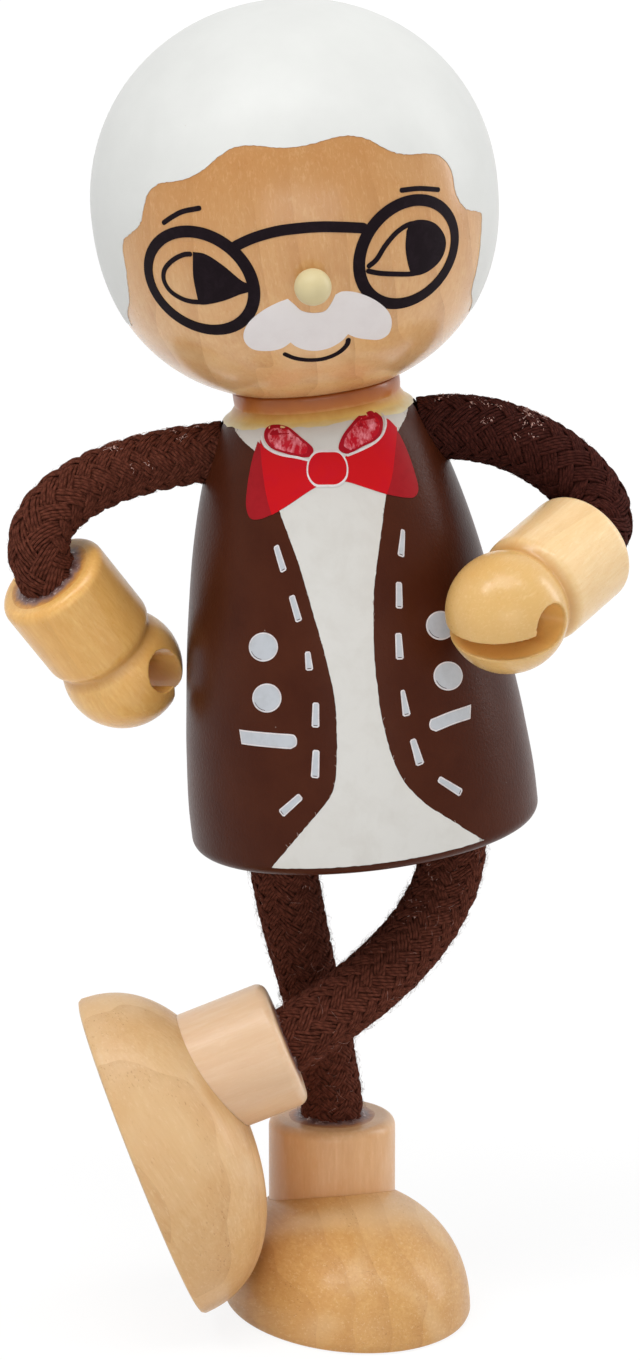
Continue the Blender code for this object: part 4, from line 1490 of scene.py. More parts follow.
def uneven_ring(frame: Matrix, turns: np.ndarray, rows: Sequence[tuple]) -> Shape:
    """A ring turned from a closed profile that changes round it.

    Args:
        frame: its placement.
        turns: the angles of its sides.
        rows: the profile's points, each a radius and a height, one value or one a side.
    Returns:
        The ring's shape.
    """
    points = [np.column_stack(np.broadcast_arrays(radius * np.cos(turns),
                                                  radius * np.sin(turns), height))
              for radius, height in rows]
    shape = Shape()
    shape.add(moved(frame, np.vstack(points)), ring_faces(len(rows), len(turns), closed=True))
    return shape


@dataclass
class Neck:
    """The cream ring between body and head, its ragged lower edge, and the dowel."""

    torso: Torso
    radius: float = 7.2 * MM
    height: float = 1.5 * MM
    gap: float = 0.3 * MM
    bore: float = 3.3 * MM
    sides: int = 180
    skirt: float = 0.75 * MM
    skirt_least: float = 0.12 * MM
    skirt_wander: float = 0.55 * MM
    skirt_slope: float = 0.62
    film: float = 0.05 * MM
    film_swell: float = 0.10 * MM
    bulge: float = 0.012
    rounding: float = 0.35 * MM
    under_share: float = 0.97
    under_lift: float = 0.02 * MM
    body: Pairs = ((0.0, 0.30), (0.05 * MM, 0.55), (0.06 * MM, 0.80))

    SHADE_CLOUD = 1.1 * MM
    SHADE_SWAY = 0.5 * MM
    SKIN = 0.6 * MM
    SKIN_DEPTH = 0.03 * MM
    SCATTER = (1.0 * MM, 0.6 * MM, 0.3 * MM)

    def _ring(self) -> Shape:
        """The ring, with the lacquer squeezed out under it."""
        form = self.torso.form()
        seat = self.torso.height
        top = seat + self.height + self.gap * 2
        turns = math.tau * np.arange(self.sides) / self.sides
        uneven = wander(turns, 11, 16) * 0.6 + wander(turns, 12, 40) * 0.4
        drop = np.maximum(self.skirt + self.skirt_wander * uneven, self.skirt_least)
        bulge = 1 + self.bulge * wander(turns, 13, 9)
        rows = []
        for share in (0.0, 0.35, 0.7, 1.0):
            height = seat - drop * (1 - share) * self.skirt_slope
            radius = form.radius(height) + self.film_swell * math.sqrt(share) + self.film
            rows.append((np.maximum(radius, self.radius * 0.99), height))
        for swell, share in self.body:
            rows.append((self.radius * bulge + swell, seat + (top - seat) * share))
        for i in range(1, 5):
            angle = math.pi / 2 * i / 4
            rows.append((self.radius - self.rounding * (1 - math.cos(angle))
                         + self.body[-1][0] * bulge, top - self.rounding * (1 - math.sin(angle))))
        rows += [(self.bore, top), (self.bore, seat + self.under_lift),
                 (self.torso.neck_seat_radius * self.under_share, seat + self.under_lift)]
        return uneven_ring(self.torso.frame, turns, rows)

    def build(self) -> None:
        """Turn and lacquer the ring, with painted shade darkening it towards the head, and give
        the dowel its wood.
        """
        frame, seat = self.torso.frame, self.torso.height
        graph = Graph("cream_lacquer_painted_shade")
        local = graph.place(frame)
        level = graph.maths("ADD", graph.part(local, 2), graph.times(
            graph.noise(local, self.SHADE_CLOUD, 3.0), self.SHADE_SWAY))
        top = seat + self.height + self.gap * 2
        # Painted shade: the ramp runs from the cream's own pale colour at the lower edge to dark
        # orange-brown under the head, the head's shadow and its warm bounce painted in; noise
        # sways where the shade begins.
        tone = graph.ramp(graph.level(level, seat - 0.3 * MM, top + 0.2 * MM), (
            (0.0, srgb(240, 226, 176)), (1.0, srgb(142, 72, 24)), (0.22, srgb(230, 192, 112)),
            (0.55, srgb(184, 108, 40))))
        graph.surface(Base_Color=tone, Roughness=0.34, Coat_Weight=0.15, Coat_Roughness=0.15,
                      Specular_IOR_Level=0.3, Subsurface_Weight=0.15, Subsurface_Scale=1.0,
                      Subsurface_Radius=self.SCATTER,
                      Normal=graph.bump(graph.noise(local, self.SKIN, 3.0, 0.5),
                                        self.SKIN_DEPTH))
        fit(self._ring().piece("cream_neck_ring", [graph.material]), "torso", Slot.CREAM,
            ["neck_ring"])
        birch = LacqueredWood("birch_dowel", srgb(214, 184, 140), srgb(200, 166, 122),
                              srgb(170, 132, 92), srgb(224, 200, 160), roughness=0.6, coat=0.0)
        for spot in bpy.data.objects["neck_dowel"].material_slots:
            spot.material = birch.make(frame)


@dataclass
class Head:
    """The ball head: painted hair, printed face and the nose."""

    torso: Torso
    view: PhotoView
    radius: float = 17.46 * MM
    crown: tuple[float, float] = (17.0 * MM, 2.05)
    chin: tuple[float, float] = (17.1 * MM, 2.25)
    base_drop: float = 16.0 * MM
    ring_height: float = 1.5 * MM
    gap: float = 0.3 * MM
    dowel_hole: tuple[float, float] = (3.3 * MM, 8.3 * MM)
    sides: int = 180
    rings: int = 56
    nose_radius: float = 1.56 * MM
    nose_peg: tuple[float, float] = (0.9 * MM, 3.0 * MM)
    nose_turn: float = math.radians(3.4)
    nose_dip: float = math.radians(14.2)
    hair_lift: float = 0.060 * MM
    hair_pole_lean: float = math.radians(40.0)
    ink_lift: float = 0.022 * MM
    lid_lift: float = 0.034 * MM
    ring_lift: float = 0.045 * MM
    moustache_lift: float = 0.050 * MM
    brow_width: float = 0.46 * MM
    bridge_width: float = 0.92 * MM
    lid_width: float = 0.45 * MM
    mouth_width: float = 0.46 * MM
    frame_width: float = 1.05 * MM

    HAIRLINE: Pairs = (
        (131.9, 325.5), (129.5, 300), (126.5, 272), (123, 250), (123.8, 239))
    LEFT_TEMPLE: Pairs = (
        (123.8, 239), (131, 233.5), (138.5, 226.5), (141.5, 221))
    FOREHEAD: Pairs = (
        (141.5, 221), (144, 207.6), (148, 194), (158, 184.3), (172, 181.8),
        (188, 178), (203.5, 169.5), (219, 156.5), (233, 147.8), (252, 145.6),
        (275, 147.6), (296, 147), (313, 143.5), (332.5, 138), (351, 135.8),
        (369, 140), (388.6, 150.5), (408, 154.5), (428, 153.6), (443, 158.5),
        (451.5, 172), (455, 190), (459.5, 201.5), (466, 209.5))
    RIGHT_TEMPLE: Pairs = ((466, 209.5), (474, 210.8), (481.5, 213.5))
    RIGHT_SIDE: Pairs = (
        (481.5, 213.5), (480.5, 240), (477.5, 264), (471.5, 290), (468.6, 311.5))
    LEFT_LENS: tuple[float, ...] = (201.3, 280.6, 57.8, 43.3, 37.5)
    RIGHT_LENS: tuple[float, ...] = (406.9, 251.8, 56.2, 42.6, -53.7)
    BRIDGE: Pairs = ((231.5, 248), (252, 238.5), (276, 231.5), (300, 228.2),
                      (321, 226.8), (345, 227.2), (368, 228.2))
    LEFT_BROW: Pairs = ((162.2, 223.8), (172, 217), (182, 211.8), (201.4, 207.7))
    RIGHT_BROW: Pairs = ((399.5, 190.5), (419, 188.5), (440, 189.8))
    LEFT_LID: Pairs = (
        (192.3, 254), (184, 254.6), (172.5, 260.5), (164.5, 270), (164, 280),
        (170, 290.5), (182, 298.6), (192, 301.5), (202, 302))
    LEFT_PUPIL: Sequence[Pairs] = (
        ((192.9, 251.8), (205, 254), (223.1, 265.5), (243, 281.5), (250, 284)),
        ((250, 284), (249.5, 291), (240, 294.5), (223.1, 301), (205, 304.6),
         (199, 304.3)),
        ((199, 304.3), (196, 291), (193.3, 276), (192.9, 251.8)))
    RIGHT_UPPER_LID: Pairs = (
        (367, 267.5), (376, 260), (385, 246), (396.5, 232.5), (408, 224.8),
        (418, 222.6))
    RIGHT_LOWER_LID: Pairs = ((366, 270.5), (378, 273), (394, 274), (412, 273.8),
                               (420, 272.2))
    RIGHT_PUPIL: Sequence[Pairs] = (
        ((406.5, 231), (411.5, 222), (424, 219.8), (436.5, 224.5), (445, 237),
         (445.4, 248), (440.5, 260), (429.5, 270.5), (417.5, 275.4), (411, 275)),
        ((411, 275), (407.5, 262), (405.5, 248), (406.5, 231)))
    MOUSTACHE: Sequence[Pairs] = (
        ((287.6, 298.8), (294.5, 304.5), (300.5, 310), (308, 312.4), (316.5, 312.8),
         (325, 310.8), (331, 303.5), (335.5, 294.5)),
        ((335.5, 294.5), (342, 291.5), (357, 292.5), (376, 300.5), (388.5, 312),
         (391.5, 323), (388, 334), (379.5, 339), (367.5, 339), (355.5, 337),
         (348, 333.8)),
        ((348, 333.8), (341, 341), (329.5, 347.5), (315.5, 350.4), (303.5, 349),
         (295, 345.5), (290.6, 342)),
        ((290.6, 342), (282, 347.8), (268, 350.6), (252.5, 348.6), (245, 341.5),
         (243.8, 333), (249, 322), (262, 311), (275.5, 303.5), (287.6, 298.8)))
    MOUTH: Pairs = ((283, 353.2), (294.5, 358), (310, 360), (325, 358.4),
                     (339, 352.3), (347, 344.5), (348.6, 337.8))

    @property
    def frame(self) -> Matrix:
        """Its placement: the middle of its widest level, on the body's axis."""
        height = self.torso.height + self.ring_height + self.gap * 2 + self.base_drop
        return self.torso.frame @ Matrix.Translation((0.0, 0.0, height))

    def form(self) -> HeadForm:
        """Its outside."""
        return HeadForm(self.frame, self.radius, self.crown, self.chin)

    def _ball(self) -> None:
        """The turned head with its dowel hole, in lacquered wood."""
        profile = [(0.0, self.crown[0])]
        for i in range(1, self.rings):
            angle = math.pi / 2 * i / self.rings
            power = 2 / self.crown[1]
            profile.append((self.radius * math.sin(angle) ** power,
                            self.crown[0] * math.cos(angle) ** power))
        profile.append((self.radius, 0.0))
        power = 2 / self.chin[1]
        lowest = math.asin((self.base_drop / self.chin[0]) ** (1 / power))
        for i in range(1, self.rings + 1):
            angle = lowest * i / self.rings
            profile.append((self.radius * math.cos(angle) ** power,
                            -self.chin[0] * math.sin(angle) ** power))
        radius, depth = self.dowel_hole
        profile += [(radius, -self.base_drop), (radius, depth - self.base_drop),
                    (0, depth - self.base_drop)]
        shape = Shape()
        shape.lathe(profile[::-1], self.sides, self.frame)
        # The upper tone darkens the face towards the forehead and the base stays paler at the
        # chin: partly the wood's own colour, partly painted shade at the top and painted light at
        # the chin.
        wood = LacqueredWood("face_wood", srgb(230, 186, 130), srgb(217, 163, 106),
                             srgb(178, 120, 66), srgb(232, 198, 150), roughness=0.34,
                             coat=0.8, line_strength=0.48, pore_share=0.14, fleck_share=0.24,
                             fleck_stretch=0.3, line_pitch=3.9 * MM, upper=srgb(178, 118, 48))
        fit(shape.piece("turned_head", [wood.make(self.frame)]), "torso", Slot.FACE, ["head"])

    def _nose_seat(self) -> Matrix:
        """Where the nose's peg meets the face, Z outwards."""
        turn, dip = self.nose_turn, self.nose_dip
        out = Vector((math.sin(turn) * math.cos(dip), -math.cos(turn) * math.cos(dip),
                      -math.sin(dip)))
        reach = float(self.form().reach(np.array([out]))[0])
        return frame_along(self.frame @ (out * reach), self.frame.to_3x3() @ out, UP)

    def _nose(self) -> None:
        """The cream ball nose on its peg."""
        seat = self._nose_seat()
        peg_radius, peg_length = self.nose_peg
        lowest = math.asin(peg_radius / self.nose_radius)
        centre = self.gap + self.nose_radius * math.cos(lowest)
        shape = Shape()
        shape.lathe([(0.0, -peg_length), (peg_radius, -peg_length),
                     *ball_profile(self.nose_radius, centre, lowest)], 64, seat)
        cream = SatinPaint("nose_cream_paint", srgb(216, 202, 158), srgb(208, 191, 144),
                           srgb(232, 224, 190), roughness=0.40, gloss=0.3)
        fit(shape.piece("cream_nose", [cream.make(seat)]), "torso", Slot.CREAM, ["nose"])

    def _hair(self) -> None:
        """White paint from the hairline over the crown and down the back."""
        form = self.form()
        lean = self.hair_pole_lean
        chart = DomeChart(form, Vector((0.0, math.sin(lean), math.cos(lean))))
        layers = PaintLayers(chart, self.view, step=0.2 * MM, mesh_pitch=0.7 * MM)
        front = [layers.line(run)[:-1] for run in (self.HAIRLINE, self.LEFT_TEMPLE,
                                                  self.FOREHEAD, self.RIGHT_TEMPLE)]
        side = layers.line(self.RIGHT_SIDE)
        ends = form.cast(self.view, (self.RIGHT_SIDE[-1], self.HAIRLINE[0]))
        turns = np.arctan2(ends[:, 0], -ends[:, 1])
        round_back = np.linspace(turns[0], turns[1] + math.tau, 60)
        level = np.linspace(ends[0, 2], ends[1, 2], 60)
        level += 0.25 * MM * np.sin(np.linspace(0.0, math.pi * 7, 60)) ** 2
        nape = smooth_curve(chart.flat(form.at_level(round_back, level)), layers.step)
        outline = layers.ragged(np.vstack(front + [side[:-1], nape[:-1]]), 0.022 * MM,
                                0.45 * MM, 8)
        shape = Shape()
        layers.fill(shape, outline, self.hair_lift)
        paint = SatinPaint("hair_white_paint", srgb(223, 224, 221), srgb(218, 219, 216),
                           srgb(205, 200, 194), roughness=0.40, ripple=0.004 * MM,
                           speck_share=0.5, gloss=0.3)
        fit(shape.piece("painted_hair", [paint.make(self.frame)]), "torso", Slot.FACE)

    def _lens(self, sizes: tuple[float, ...]) -> Pairs:
        """Pairs round an oval: its centre, its two half-axes and its tilt downwards."""
        x, y, long, short, tilt = sizes
        tilt = math.radians(tilt)
        ring = []
        for angle in np.linspace(0.0, math.tau, 32, endpoint=False):
            a, b = long * math.cos(angle), short * math.sin(angle)
            ring.append((x + a * math.cos(tilt) - b * math.sin(tilt),
                         y + a * math.sin(tilt) + b * math.cos(tilt)))
        return ring

    def _face(self) -> None:
        """Glasses, eyes, brows, mouth and moustache."""
        layers = PaintLayers(DomeChart(self.form(), FORWARD), self.view, step=0.08 * MM)
        ink = PrintInk("face_black_ink", srgb(24, 15, 20), srgb(34, 24, 30), 0.46, gloss=0.06)
        shape = Shape()
        for sizes in (self.LEFT_LENS, self.RIGHT_LENS):
            ring = layers.line(self._lens(sizes), closed=True)
            layers.stroke(shape, ring, self.frame_width, self.ring_lift, closed=True)
        layers.stroke(shape, layers.line(self.BRIDGE), self.bridge_width, self.lid_lift)
        fit(shape.piece("glasses_print", [ink.make()]), "torso", Slot.FACE)
        shape = Shape()
        for pupil in (self.LEFT_PUPIL, self.RIGHT_PUPIL):
            layers.fill(shape, layers.outline(*pupil), self.ink_lift)
        for line in (self.LEFT_LID, self.RIGHT_UPPER_LID, self.RIGHT_LOWER_LID):
            layers.stroke(shape, layers.line(line), self.lid_width, self.lid_lift)
        for line in (self.LEFT_BROW, self.RIGHT_BROW):
            layers.stroke(shape, layers.line(line), self.brow_width, self.ink_lift)
        layers.stroke(shape, layers.line(self.MOUTH), self.mouth_width, self.ink_lift)
        fit(shape.piece("eye_brow_mouth_prints", [ink.make()]), "torso", Slot.FACE)
        shape = Shape()
        layers.fill(shape, layers.outline(*self.MOUSTACHE), self.moustache_lift)
        white = PrintInk("moustache_white_ink", srgb(232, 226, 225), srgb(227, 220, 219), 0.42,
                         2.0 * MM)
        fit(shape.piece("moustache_print", [white.make()]), "torso", Slot.FACE)

    def build(self) -> None:
        """Turn, paint and print the head."""
        self._ball()
        self._nose()
        self._hair()
        self._face()


@dataclass
class Route:
    """The centre line of one limb, sampled by length.

    The free cord is one cubic curve from the body's face to the socket's mouth, and it
    runs straight into the wood at both ends.
    """

    start: Vector
    start_axis: Vector
    start_depth: float
    end: Vector
    end_axis: Vector
    end_depth: float
    pulls: tuple[float, float]
    sag_share: float = 0.0

    SAMPLES = 240

    def __post_init__(self) -> None:
        """Sample the curve and carry a side direction along it without twist."""
        start_axis, end_axis = self.start_axis.normalized(), self.end_axis.normalized()
        approach = (end_axis - UP * self.sag_share).normalized()
        inner = self.start + start_axis * self.pulls[0]
        outer = self.end - approach * self.pulls[1]
        points = [self.start - start_axis * self.start_depth]
        for i in range(self.SAMPLES + 1):
            t = i / self.SAMPLES
            s = 1.0 - t
            points.append(self.start * s ** 3 + inner * 3 * s * s * t
                          + outer * 3 * s * t * t + self.end * t ** 3)
        points.append(self.end + end_axis * self.end_depth)
        self.points = np.array(points)
        self.lengths = run_lengths(self.points)
        self.total = float(self.lengths[-1])
        self.free = self.total - self.start_depth - self.end_depth
        side = UP.cross(start_axis)
        if side.length < 0.5:
            side = FORWARD.cross(start_axis)
        side = side.normalized()
        tangents, sides = [], []
        for low, high in zip(points[:1] + points[:-1], points[1:] + points[-1:]):
            tangent = (high - low).normalized()
            side = (side - tangent * side.dot(tangent)).normalized()
            tangents.append(tangent)
            sides.append(side)
        self.tangents, self.sides = np.array(tangents), np.array(sides)

    def at(self, lengths: np.ndarray) -> tuple[np.ndarray, np.ndarray, np.ndarray]:
        """Places along the route.

        Args:
            lengths: lengths from the inner end.
        Returns:
            Points, unit tangents and unit side directions, one in each row.
        """
        points, tangents, sides = (read_off(lengths, self.lengths, table)
                                   for table in (self.points, self.tangents, self.sides))
        tangents = unit(tangents)
        return points, tangents, unit(sides - tangents * (sides * tangents).sum(axis=1)[:, None])

    def skin(self, lengths: np.ndarray, turns: np.ndarray, radii: np.ndarray,
             ) -> tuple[np.ndarray, np.ndarray]:
        """Points round the route.

        Args:
            lengths: lengths from the inner end.
            turns: angles round it.
            radii: distances from it.
        Returns:
            The points and the outward directions there.
        """
        points, tangents, sides = self.at(lengths)
        others = np.cross(tangents, sides)
        out = sides * np.cos(turns)[:, None] + others * np.sin(turns)[:, None]
        return points + out * radii[:, None], out

    def tube(self, lengths: np.ndarray, radii: np.ndarray, sides: int) -> np.ndarray:
        """Points of rings round the route, ring after ring, at lengths and radii."""
        lines = [self.skin(lengths, np.full(len(lengths), math.tau * k / sides), radii)[0]
                 for k in range(sides)]
        return np.stack(lines, axis=1).reshape(-1, 3)


@dataclass
class Braid:
    """A sleeve of interlaced yarns over a dark core.

    Strands run both ways round the sleeve.  Strand i of one way and strand j of the
    other cross where their turns meet, and the first is on top when i + j, taken by
    fours, is 0 or 1, which gives the two-over, two-under herringbone.
    """

    COORDINATES = "yarn"

    strands: int = 12
    yarns: int = 4
    half_width: float = 0.150 * MM
    half_depth: float = 0.135 * MM
    yarn_spacing: float = 0.268 * MM
    sink: float = 0.36 * MM
    lay: float = 1.0
    step: float = 0.25 * MM
    sides: int = 6
    twist_pitch: float = 0.8 * MM
    core_gap: float = 0.95 * MM
    core_sides: int = 24
    wobble: float = 0.030 * MM
    wobble_rate: float = 0.9 / MM
    lift_share: float = 0.6
    swell: float = 0.06

    def _yarn(self, shape: Shape, centres: np.ndarray, outs: np.ndarray, swell: float,
              start: float) -> None:
        """Add one yarn.

        Args:
            shape: what it is added to.
            centres: its centre line.
            outs: outward directions along it.
            swell: a factor of its thickness.
            start: the twist at its first point, in turns.
        """
        ahead = unit(np.gradient(centres, axis=0))
        outs = unit(outs - ahead * (outs * ahead).sum(axis=1)[:, None])
        wide = np.cross(ahead, outs)
        rows, sides = len(centres), self.sides
        angles = math.tau * np.arange(sides) / sides
        rings = (centres[:, None, :]
                 + wide[:, None, :] * (np.cos(angles) * self.half_width * swell)[None, :, None]
                 + outs[:, None, :] * (np.sin(angles) * self.half_depth * swell)[None, :, None])
        along = start + run_lengths(centres) / self.twist_pitch
        for low, high in zip(along, along[1:]):
            for k in range(sides):
                shape.corners += [(low, k / sides), (low, (k + 1) / sides),
                                  (high, (k + 1) / sides), (high, k / sides)]
        shape.corners += [(along[0], 0.5)] * sides + [(along[-1], 0.5)] * sides
        shape.add(rings.reshape(-1, 3), ring_faces(rows, sides))

    def weave(self, shape: Shape, route: Route, low: float, high: float, radius: Radii,
              seed: int) -> None:
        """Add the sleeve between two lengths.

        Args:
            shape: what it is added to.
            route: the limb's centre line.
            low: where it starts.
            high: where it ends.
            radius: the sleeve's outer radius at lengths.
            seed: which uneven sleeve it is; the same for a whole limb.
        """
        count = max(2, round((high - low) / self.step))
        lengths = np.linspace(low, high, count + 1)
        radii = radius(lengths)
        fine = np.linspace(0.0, route.total, 400)
        turned_by = np.concatenate([[0.0], np.cumsum(
            np.diff(fine) * self.lay / radius((fine[1:] + fine[:-1]) / 2))])
        turned = np.interp(lengths, fine, turned_by)
        pitch = math.tau / self.strands
        crossings = 2 * turned / pitch
        slant = math.hypot(1.0, self.lay)
        rng = np.random.default_rng(seed)
        for way in (1, -1):
            for i in range(self.strands):
                phase = (2 * i + way * crossings - 0.5) * math.pi / 2
                over = np.clip(way * np.cos(phase) * 1.25, -1.0, 1.0)
                for j in range(self.yarns):
                    shift = (j - (self.yarns - 1) / 2) * self.yarn_spacing * slant
                    jitter = rng.normal(0.0, self.wobble, 8)
                    waves = sum(jitter[k] * np.sin((k + 1) * self.wobble_rate * lengths
                                                   + jitter[-1 - k] / self.wobble)
                                for k in range(4))
                    turns = i * pitch + way * turned + (shift + waves) / radii
                    lift = (over - 1) / 2 * self.sink + waves * self.lift_share
                    line = route.skin(lengths, turns, radii - self.half_depth + lift)
                    self._yarn(shape, *line, 1 + rng.normal(0.0, self.swell), rng.uniform())
        lengths = lengths[::2] if count % 2 == 0 else lengths
        faces = ring_faces(len(lengths), self.core_sides)
        shape.corners += [(0.0, 0.0)] * sum(len(face) for face in faces)
        shape.add(route.tube(lengths, radius(lengths) - self.core_gap, self.core_sides), faces)


@dataclass
class Fluff:
    """Loose fibres and lint on a sleeve."""

    fibres_to_mm: float
    fibre_radius: float
    fibre_length: tuple[float, float]
    pale_share: float = 0.0
    fibre_rise: float = 0.75
    end_margin: float = 0.5 * MM
    root_depth: float = 0.12 * MM
    curl: float = 1.2
    tip_share: float = 0.45
    lint_radius: float = 0.030 * MM
    lint_length: tuple[float, float] = (0.12 * MM, 0.38 * MM)
    lint_size: tuple[float, float] = (0.06 * MM, 0.13 * MM)
    lint_rise: float = 0.35
    lint_depth: float = 0.02 * MM
    lint_spread: tuple[float, float] = (0.22 * MM, 0.09)
    strands_to_speck: int = 4

    HELPER = (0.31, 0.52, 0.79)

    def fibres(self, shape: Shape, route: Route, low: float, high: float, radius: Radii,
               seed: int) -> None:
        """Add fine fibres that curl out of the sleeve between two lengths."""
        rng = np.random.default_rng(seed)
        for _ in range(round((high - low) / MM * self.fibres_to_mm)):
            pale = int(rng.uniform() < self.pale_share)
            self._curl(shape, route, rng.uniform(low + self.end_margin, high - self.end_margin),
                       rng.uniform(0.0, math.tau), radius, rng, self.fibre_length,
                       self.fibre_rise, self.fibre_radius, pale)

    def _curl(self, shape: Shape, route: Route, length: float, turn: float, radius: Radii,
              rng: np.random.Generator, reaches: tuple[float, float], rise: float,
              thick: float, slot: int) -> None:
        """Add one fibre that leaves the sleeve and bends back, thinning to its tip.

        Args:
            shape: what it is added to.
            route: the limb's centre line.
            length: where along the route it starts.
            turn: where round the route it starts.
            radius: the sleeve's outer radius at lengths.
            rng: the source of its unevenness.
            reaches: its shortest and longest length.
            rise: how steeply it leaves.
            thick: its radius at the root.
            slot: its material slot.
        """
        places = np.array([length])
        start = radius(places) - self.root_depth * rise
        (root,), (out,) = route.skin(places, np.array([turn]), start)
        tangent = route.at(places)[1][0]
        angle = rng.uniform(0.0, math.tau)
        lean = tangent * math.cos(angle) + np.cross(tangent, out) * math.sin(angle)
        reach = rng.uniform(*reaches)
        curl = rng.uniform(-self.curl, self.curl)
        steps = np.linspace(0.0, 1.0, 5)[:, None]
        path = (root + out * reach * (rise * steps - 0.6 * rise * steps ** 2)
                + lean * reach * 0.8 * steps
                + np.cross(out, lean) * reach * curl * 0.4 * steps ** 2)
        ahead = unit(np.gradient(path, axis=0))
        wide = unit(np.cross(ahead, self.HELPER))
        other = np.cross(ahead, wide)
        thin = thick * np.linspace(1.0, self.tip_share, len(path))[:, None]
        rings = np.stack([path + (wide * math.cos(a) + other * math.sin(a)) * thin
                          for a in (0.0, math.tau / 3, math.tau * 2 / 3)], axis=1)
        faces = ring_faces(len(path), 3)
        shape.corners += [(0.1, 0.3)] * sum(len(face) for face in faces)
        shape.add(rings.reshape(-1, 3), faces, slot)

    def lint(self, shape: Shape, route: Route, lengths: tuple[float, float], count: int,
             radius: Radii, seed: int) -> None:
        """Add pale specks on the upper side of a stretch, in the second material."""
        rng = np.random.default_rng(seed)
        corners = np.array([(1, 0, -0.7), (-1, 0, -0.7), (0, 1, 0.7), (0, -1, 0.7)], float)
        faces = [(0, 2, 3), (1, 3, 2), (0, 1, 2), (0, 3, 1)]
        for _ in range(count):
            length = np.array([rng.uniform(*lengths)])
            _, tangent, side = route.at(length)
            other = np.cross(tangent, side)[0]
            turn = math.atan2(other[2], side[0][2]) + rng.normal(0.0, 0.7)
            centre, _ = route.skin(length, np.array([turn]), radius(length) - self.lint_depth)
            size = rng.uniform(*self.lint_size)
            spread = rng.uniform(0.5, 1.3, (4, 1)) * corners * size
            spin = np.linalg.qr(rng.normal(size=(3, 3)))[0]
            shape.corners += [(0.0, 0.0)] * 12
            shape.add(centre[0] + spread @ spin, faces, 1)
            for _ in range(self.strands_to_speck):
                place = float(length[0] + rng.normal(0.0, self.lint_spread[0]))
                self._curl(shape, route, place, turn + rng.normal(0.0, self.lint_spread[1]),
                           radius, rng, self.lint_length, self.lint_rise, self.lint_radius, 1)


class LimbKind(Enum):
    """The two kinds of limb."""

    ARM = "arm"
    LEG = "leg"


@dataclass
class Limb:
    """One braided limb over its wire, in a piece for each joint that it bends at."""

    name: str
    kind: LimbKind
    route: Route
    bodies: tuple[str, ...]
    nodes: tuple[str, ...]
    joint_shares: tuple[float, ...]
    widths: Pairs
    seed: int
    lint_count: int
    fluff: Fluff
    tail: float = 1.1 * MM
    lint_share: float = 0.42
    wire_radius: float = 0.6 * MM
    wire_margin: float = 0.6 * MM
    wire_step: float = 0.5 * MM
    wire_sides: int = 12
    blend_share: float = 0.97

    @property
    def braid(self) -> Braid:
        """The sleeve: few broad strands on an arm, more on a leg."""
        if self.kind is LimbKind.LEG:
            return Braid()
        return Braid(strands=8, yarns=5, half_width=0.155 * MM, yarn_spacing=0.272 * MM, lay=1.15)

    def radius(self, lengths: np.ndarray) -> np.ndarray:
        """The sleeve's outer radius at lengths from the inner end."""
        shares = (np.asarray(lengths) - self.route.start_depth) / self.route.free
        table = np.array(self.widths)
        return np.interp(shares, table[:, 0], table[:, 1])

    def _seat(self, piece: bpy.types.Object, i: int, ends: tuple[float, float], reach: float,
              slot: Slot, nodes: Sequence[str]) -> None:
        """Seat a piece: bake its placement into its mesh and hide the CAD nodes that it stands
        for.

        Args:
            piece: the piece, final.
            i: the joint's number.
            ends: the piece's own end lengths.
            reach: the radius within which its points lie.
            slot: not used.
            nodes: CAD nodes that it stands for.
        """
        joint = self.route.start_depth + self.route.free * self.joint_shares[i]
        (centre,), (axis,), _ = self.route.at(np.array([joint]))
        rings = self.route.tube(np.array(ends), np.full(2, reach), 24).reshape(2, 24, 3)
        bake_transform(piece)
        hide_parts(*nodes)
        LOG.info("%s: %d faces between %s and %s", piece.name, len(piece.data.polygons),
                 self.bodies[i], self.bodies[i + 1])

    def build(self, yarn: bpy.types.Material, lint: bpy.types.Material,
              steel: bpy.types.Material) -> None:
        """Weave the sleeve and lay the wire.

        Args:
            yarn: the cord's finish.
            lint: the pale specks' finish.
            steel: the wire's finish.
        """
        route = self.route
        joints = [route.start_depth + route.free * share for share in self.joint_shares]
        inner = [(a + b) / 2 for a, b in zip(joints, joints[1:])]
        stops = [route.start_depth - self.tail, *inner, route.total - route.end_depth + self.tail]
        wire_stops = [self.wire_margin, *inner, route.total - self.wire_margin]
        lint_end = route.start_depth + route.free * self.lint_share
        for i in range(len(joints)):
            ends = (stops[i], stops[i + 1])
            shape = Shape()
            self.braid.weave(shape, route, *ends, self.radius, self.seed)
            self.fluff.fibres(shape, route, *ends, self.radius, self.seed + i)
            if ends[0] < lint_end:
                span = (max(ends[0], route.start_depth) + self.tail / 2,
                        min(ends[1], lint_end) - self.tail / 4)
                self.fluff.lint(shape, route, span, self.lint_count, self.radius, self.seed + i)
            piece = shape.piece(f"{self.name}_braid_{i + 1}", [yarn, lint], 180.0)
            nodes = self.nodes[i:i + 1] if i < len(joints) - 1 else self.nodes[i:i + 2]
            self._seat(piece, i, ends, float(self.radius(np.array(ends)).max()), Slot.CORD, nodes)
            low, high = wire_stops[i], wire_stops[i + 1]
            lengths = np.linspace(low, high, max(6, round((high - low) / self.wire_step)))
            shape = Shape()
            shape.add(route.tube(lengths, np.full(len(lengths), self.wire_radius),
                                 self.wire_sides), ring_faces(len(lengths), self.wire_sides))
            piece = shape.piece(f"{self.name}_bending_wire_{i + 1}", [steel])
            self._seat(piece, i, ends, self.wire_radius, Slot.WIRE, [f"{self.name}_wire"])


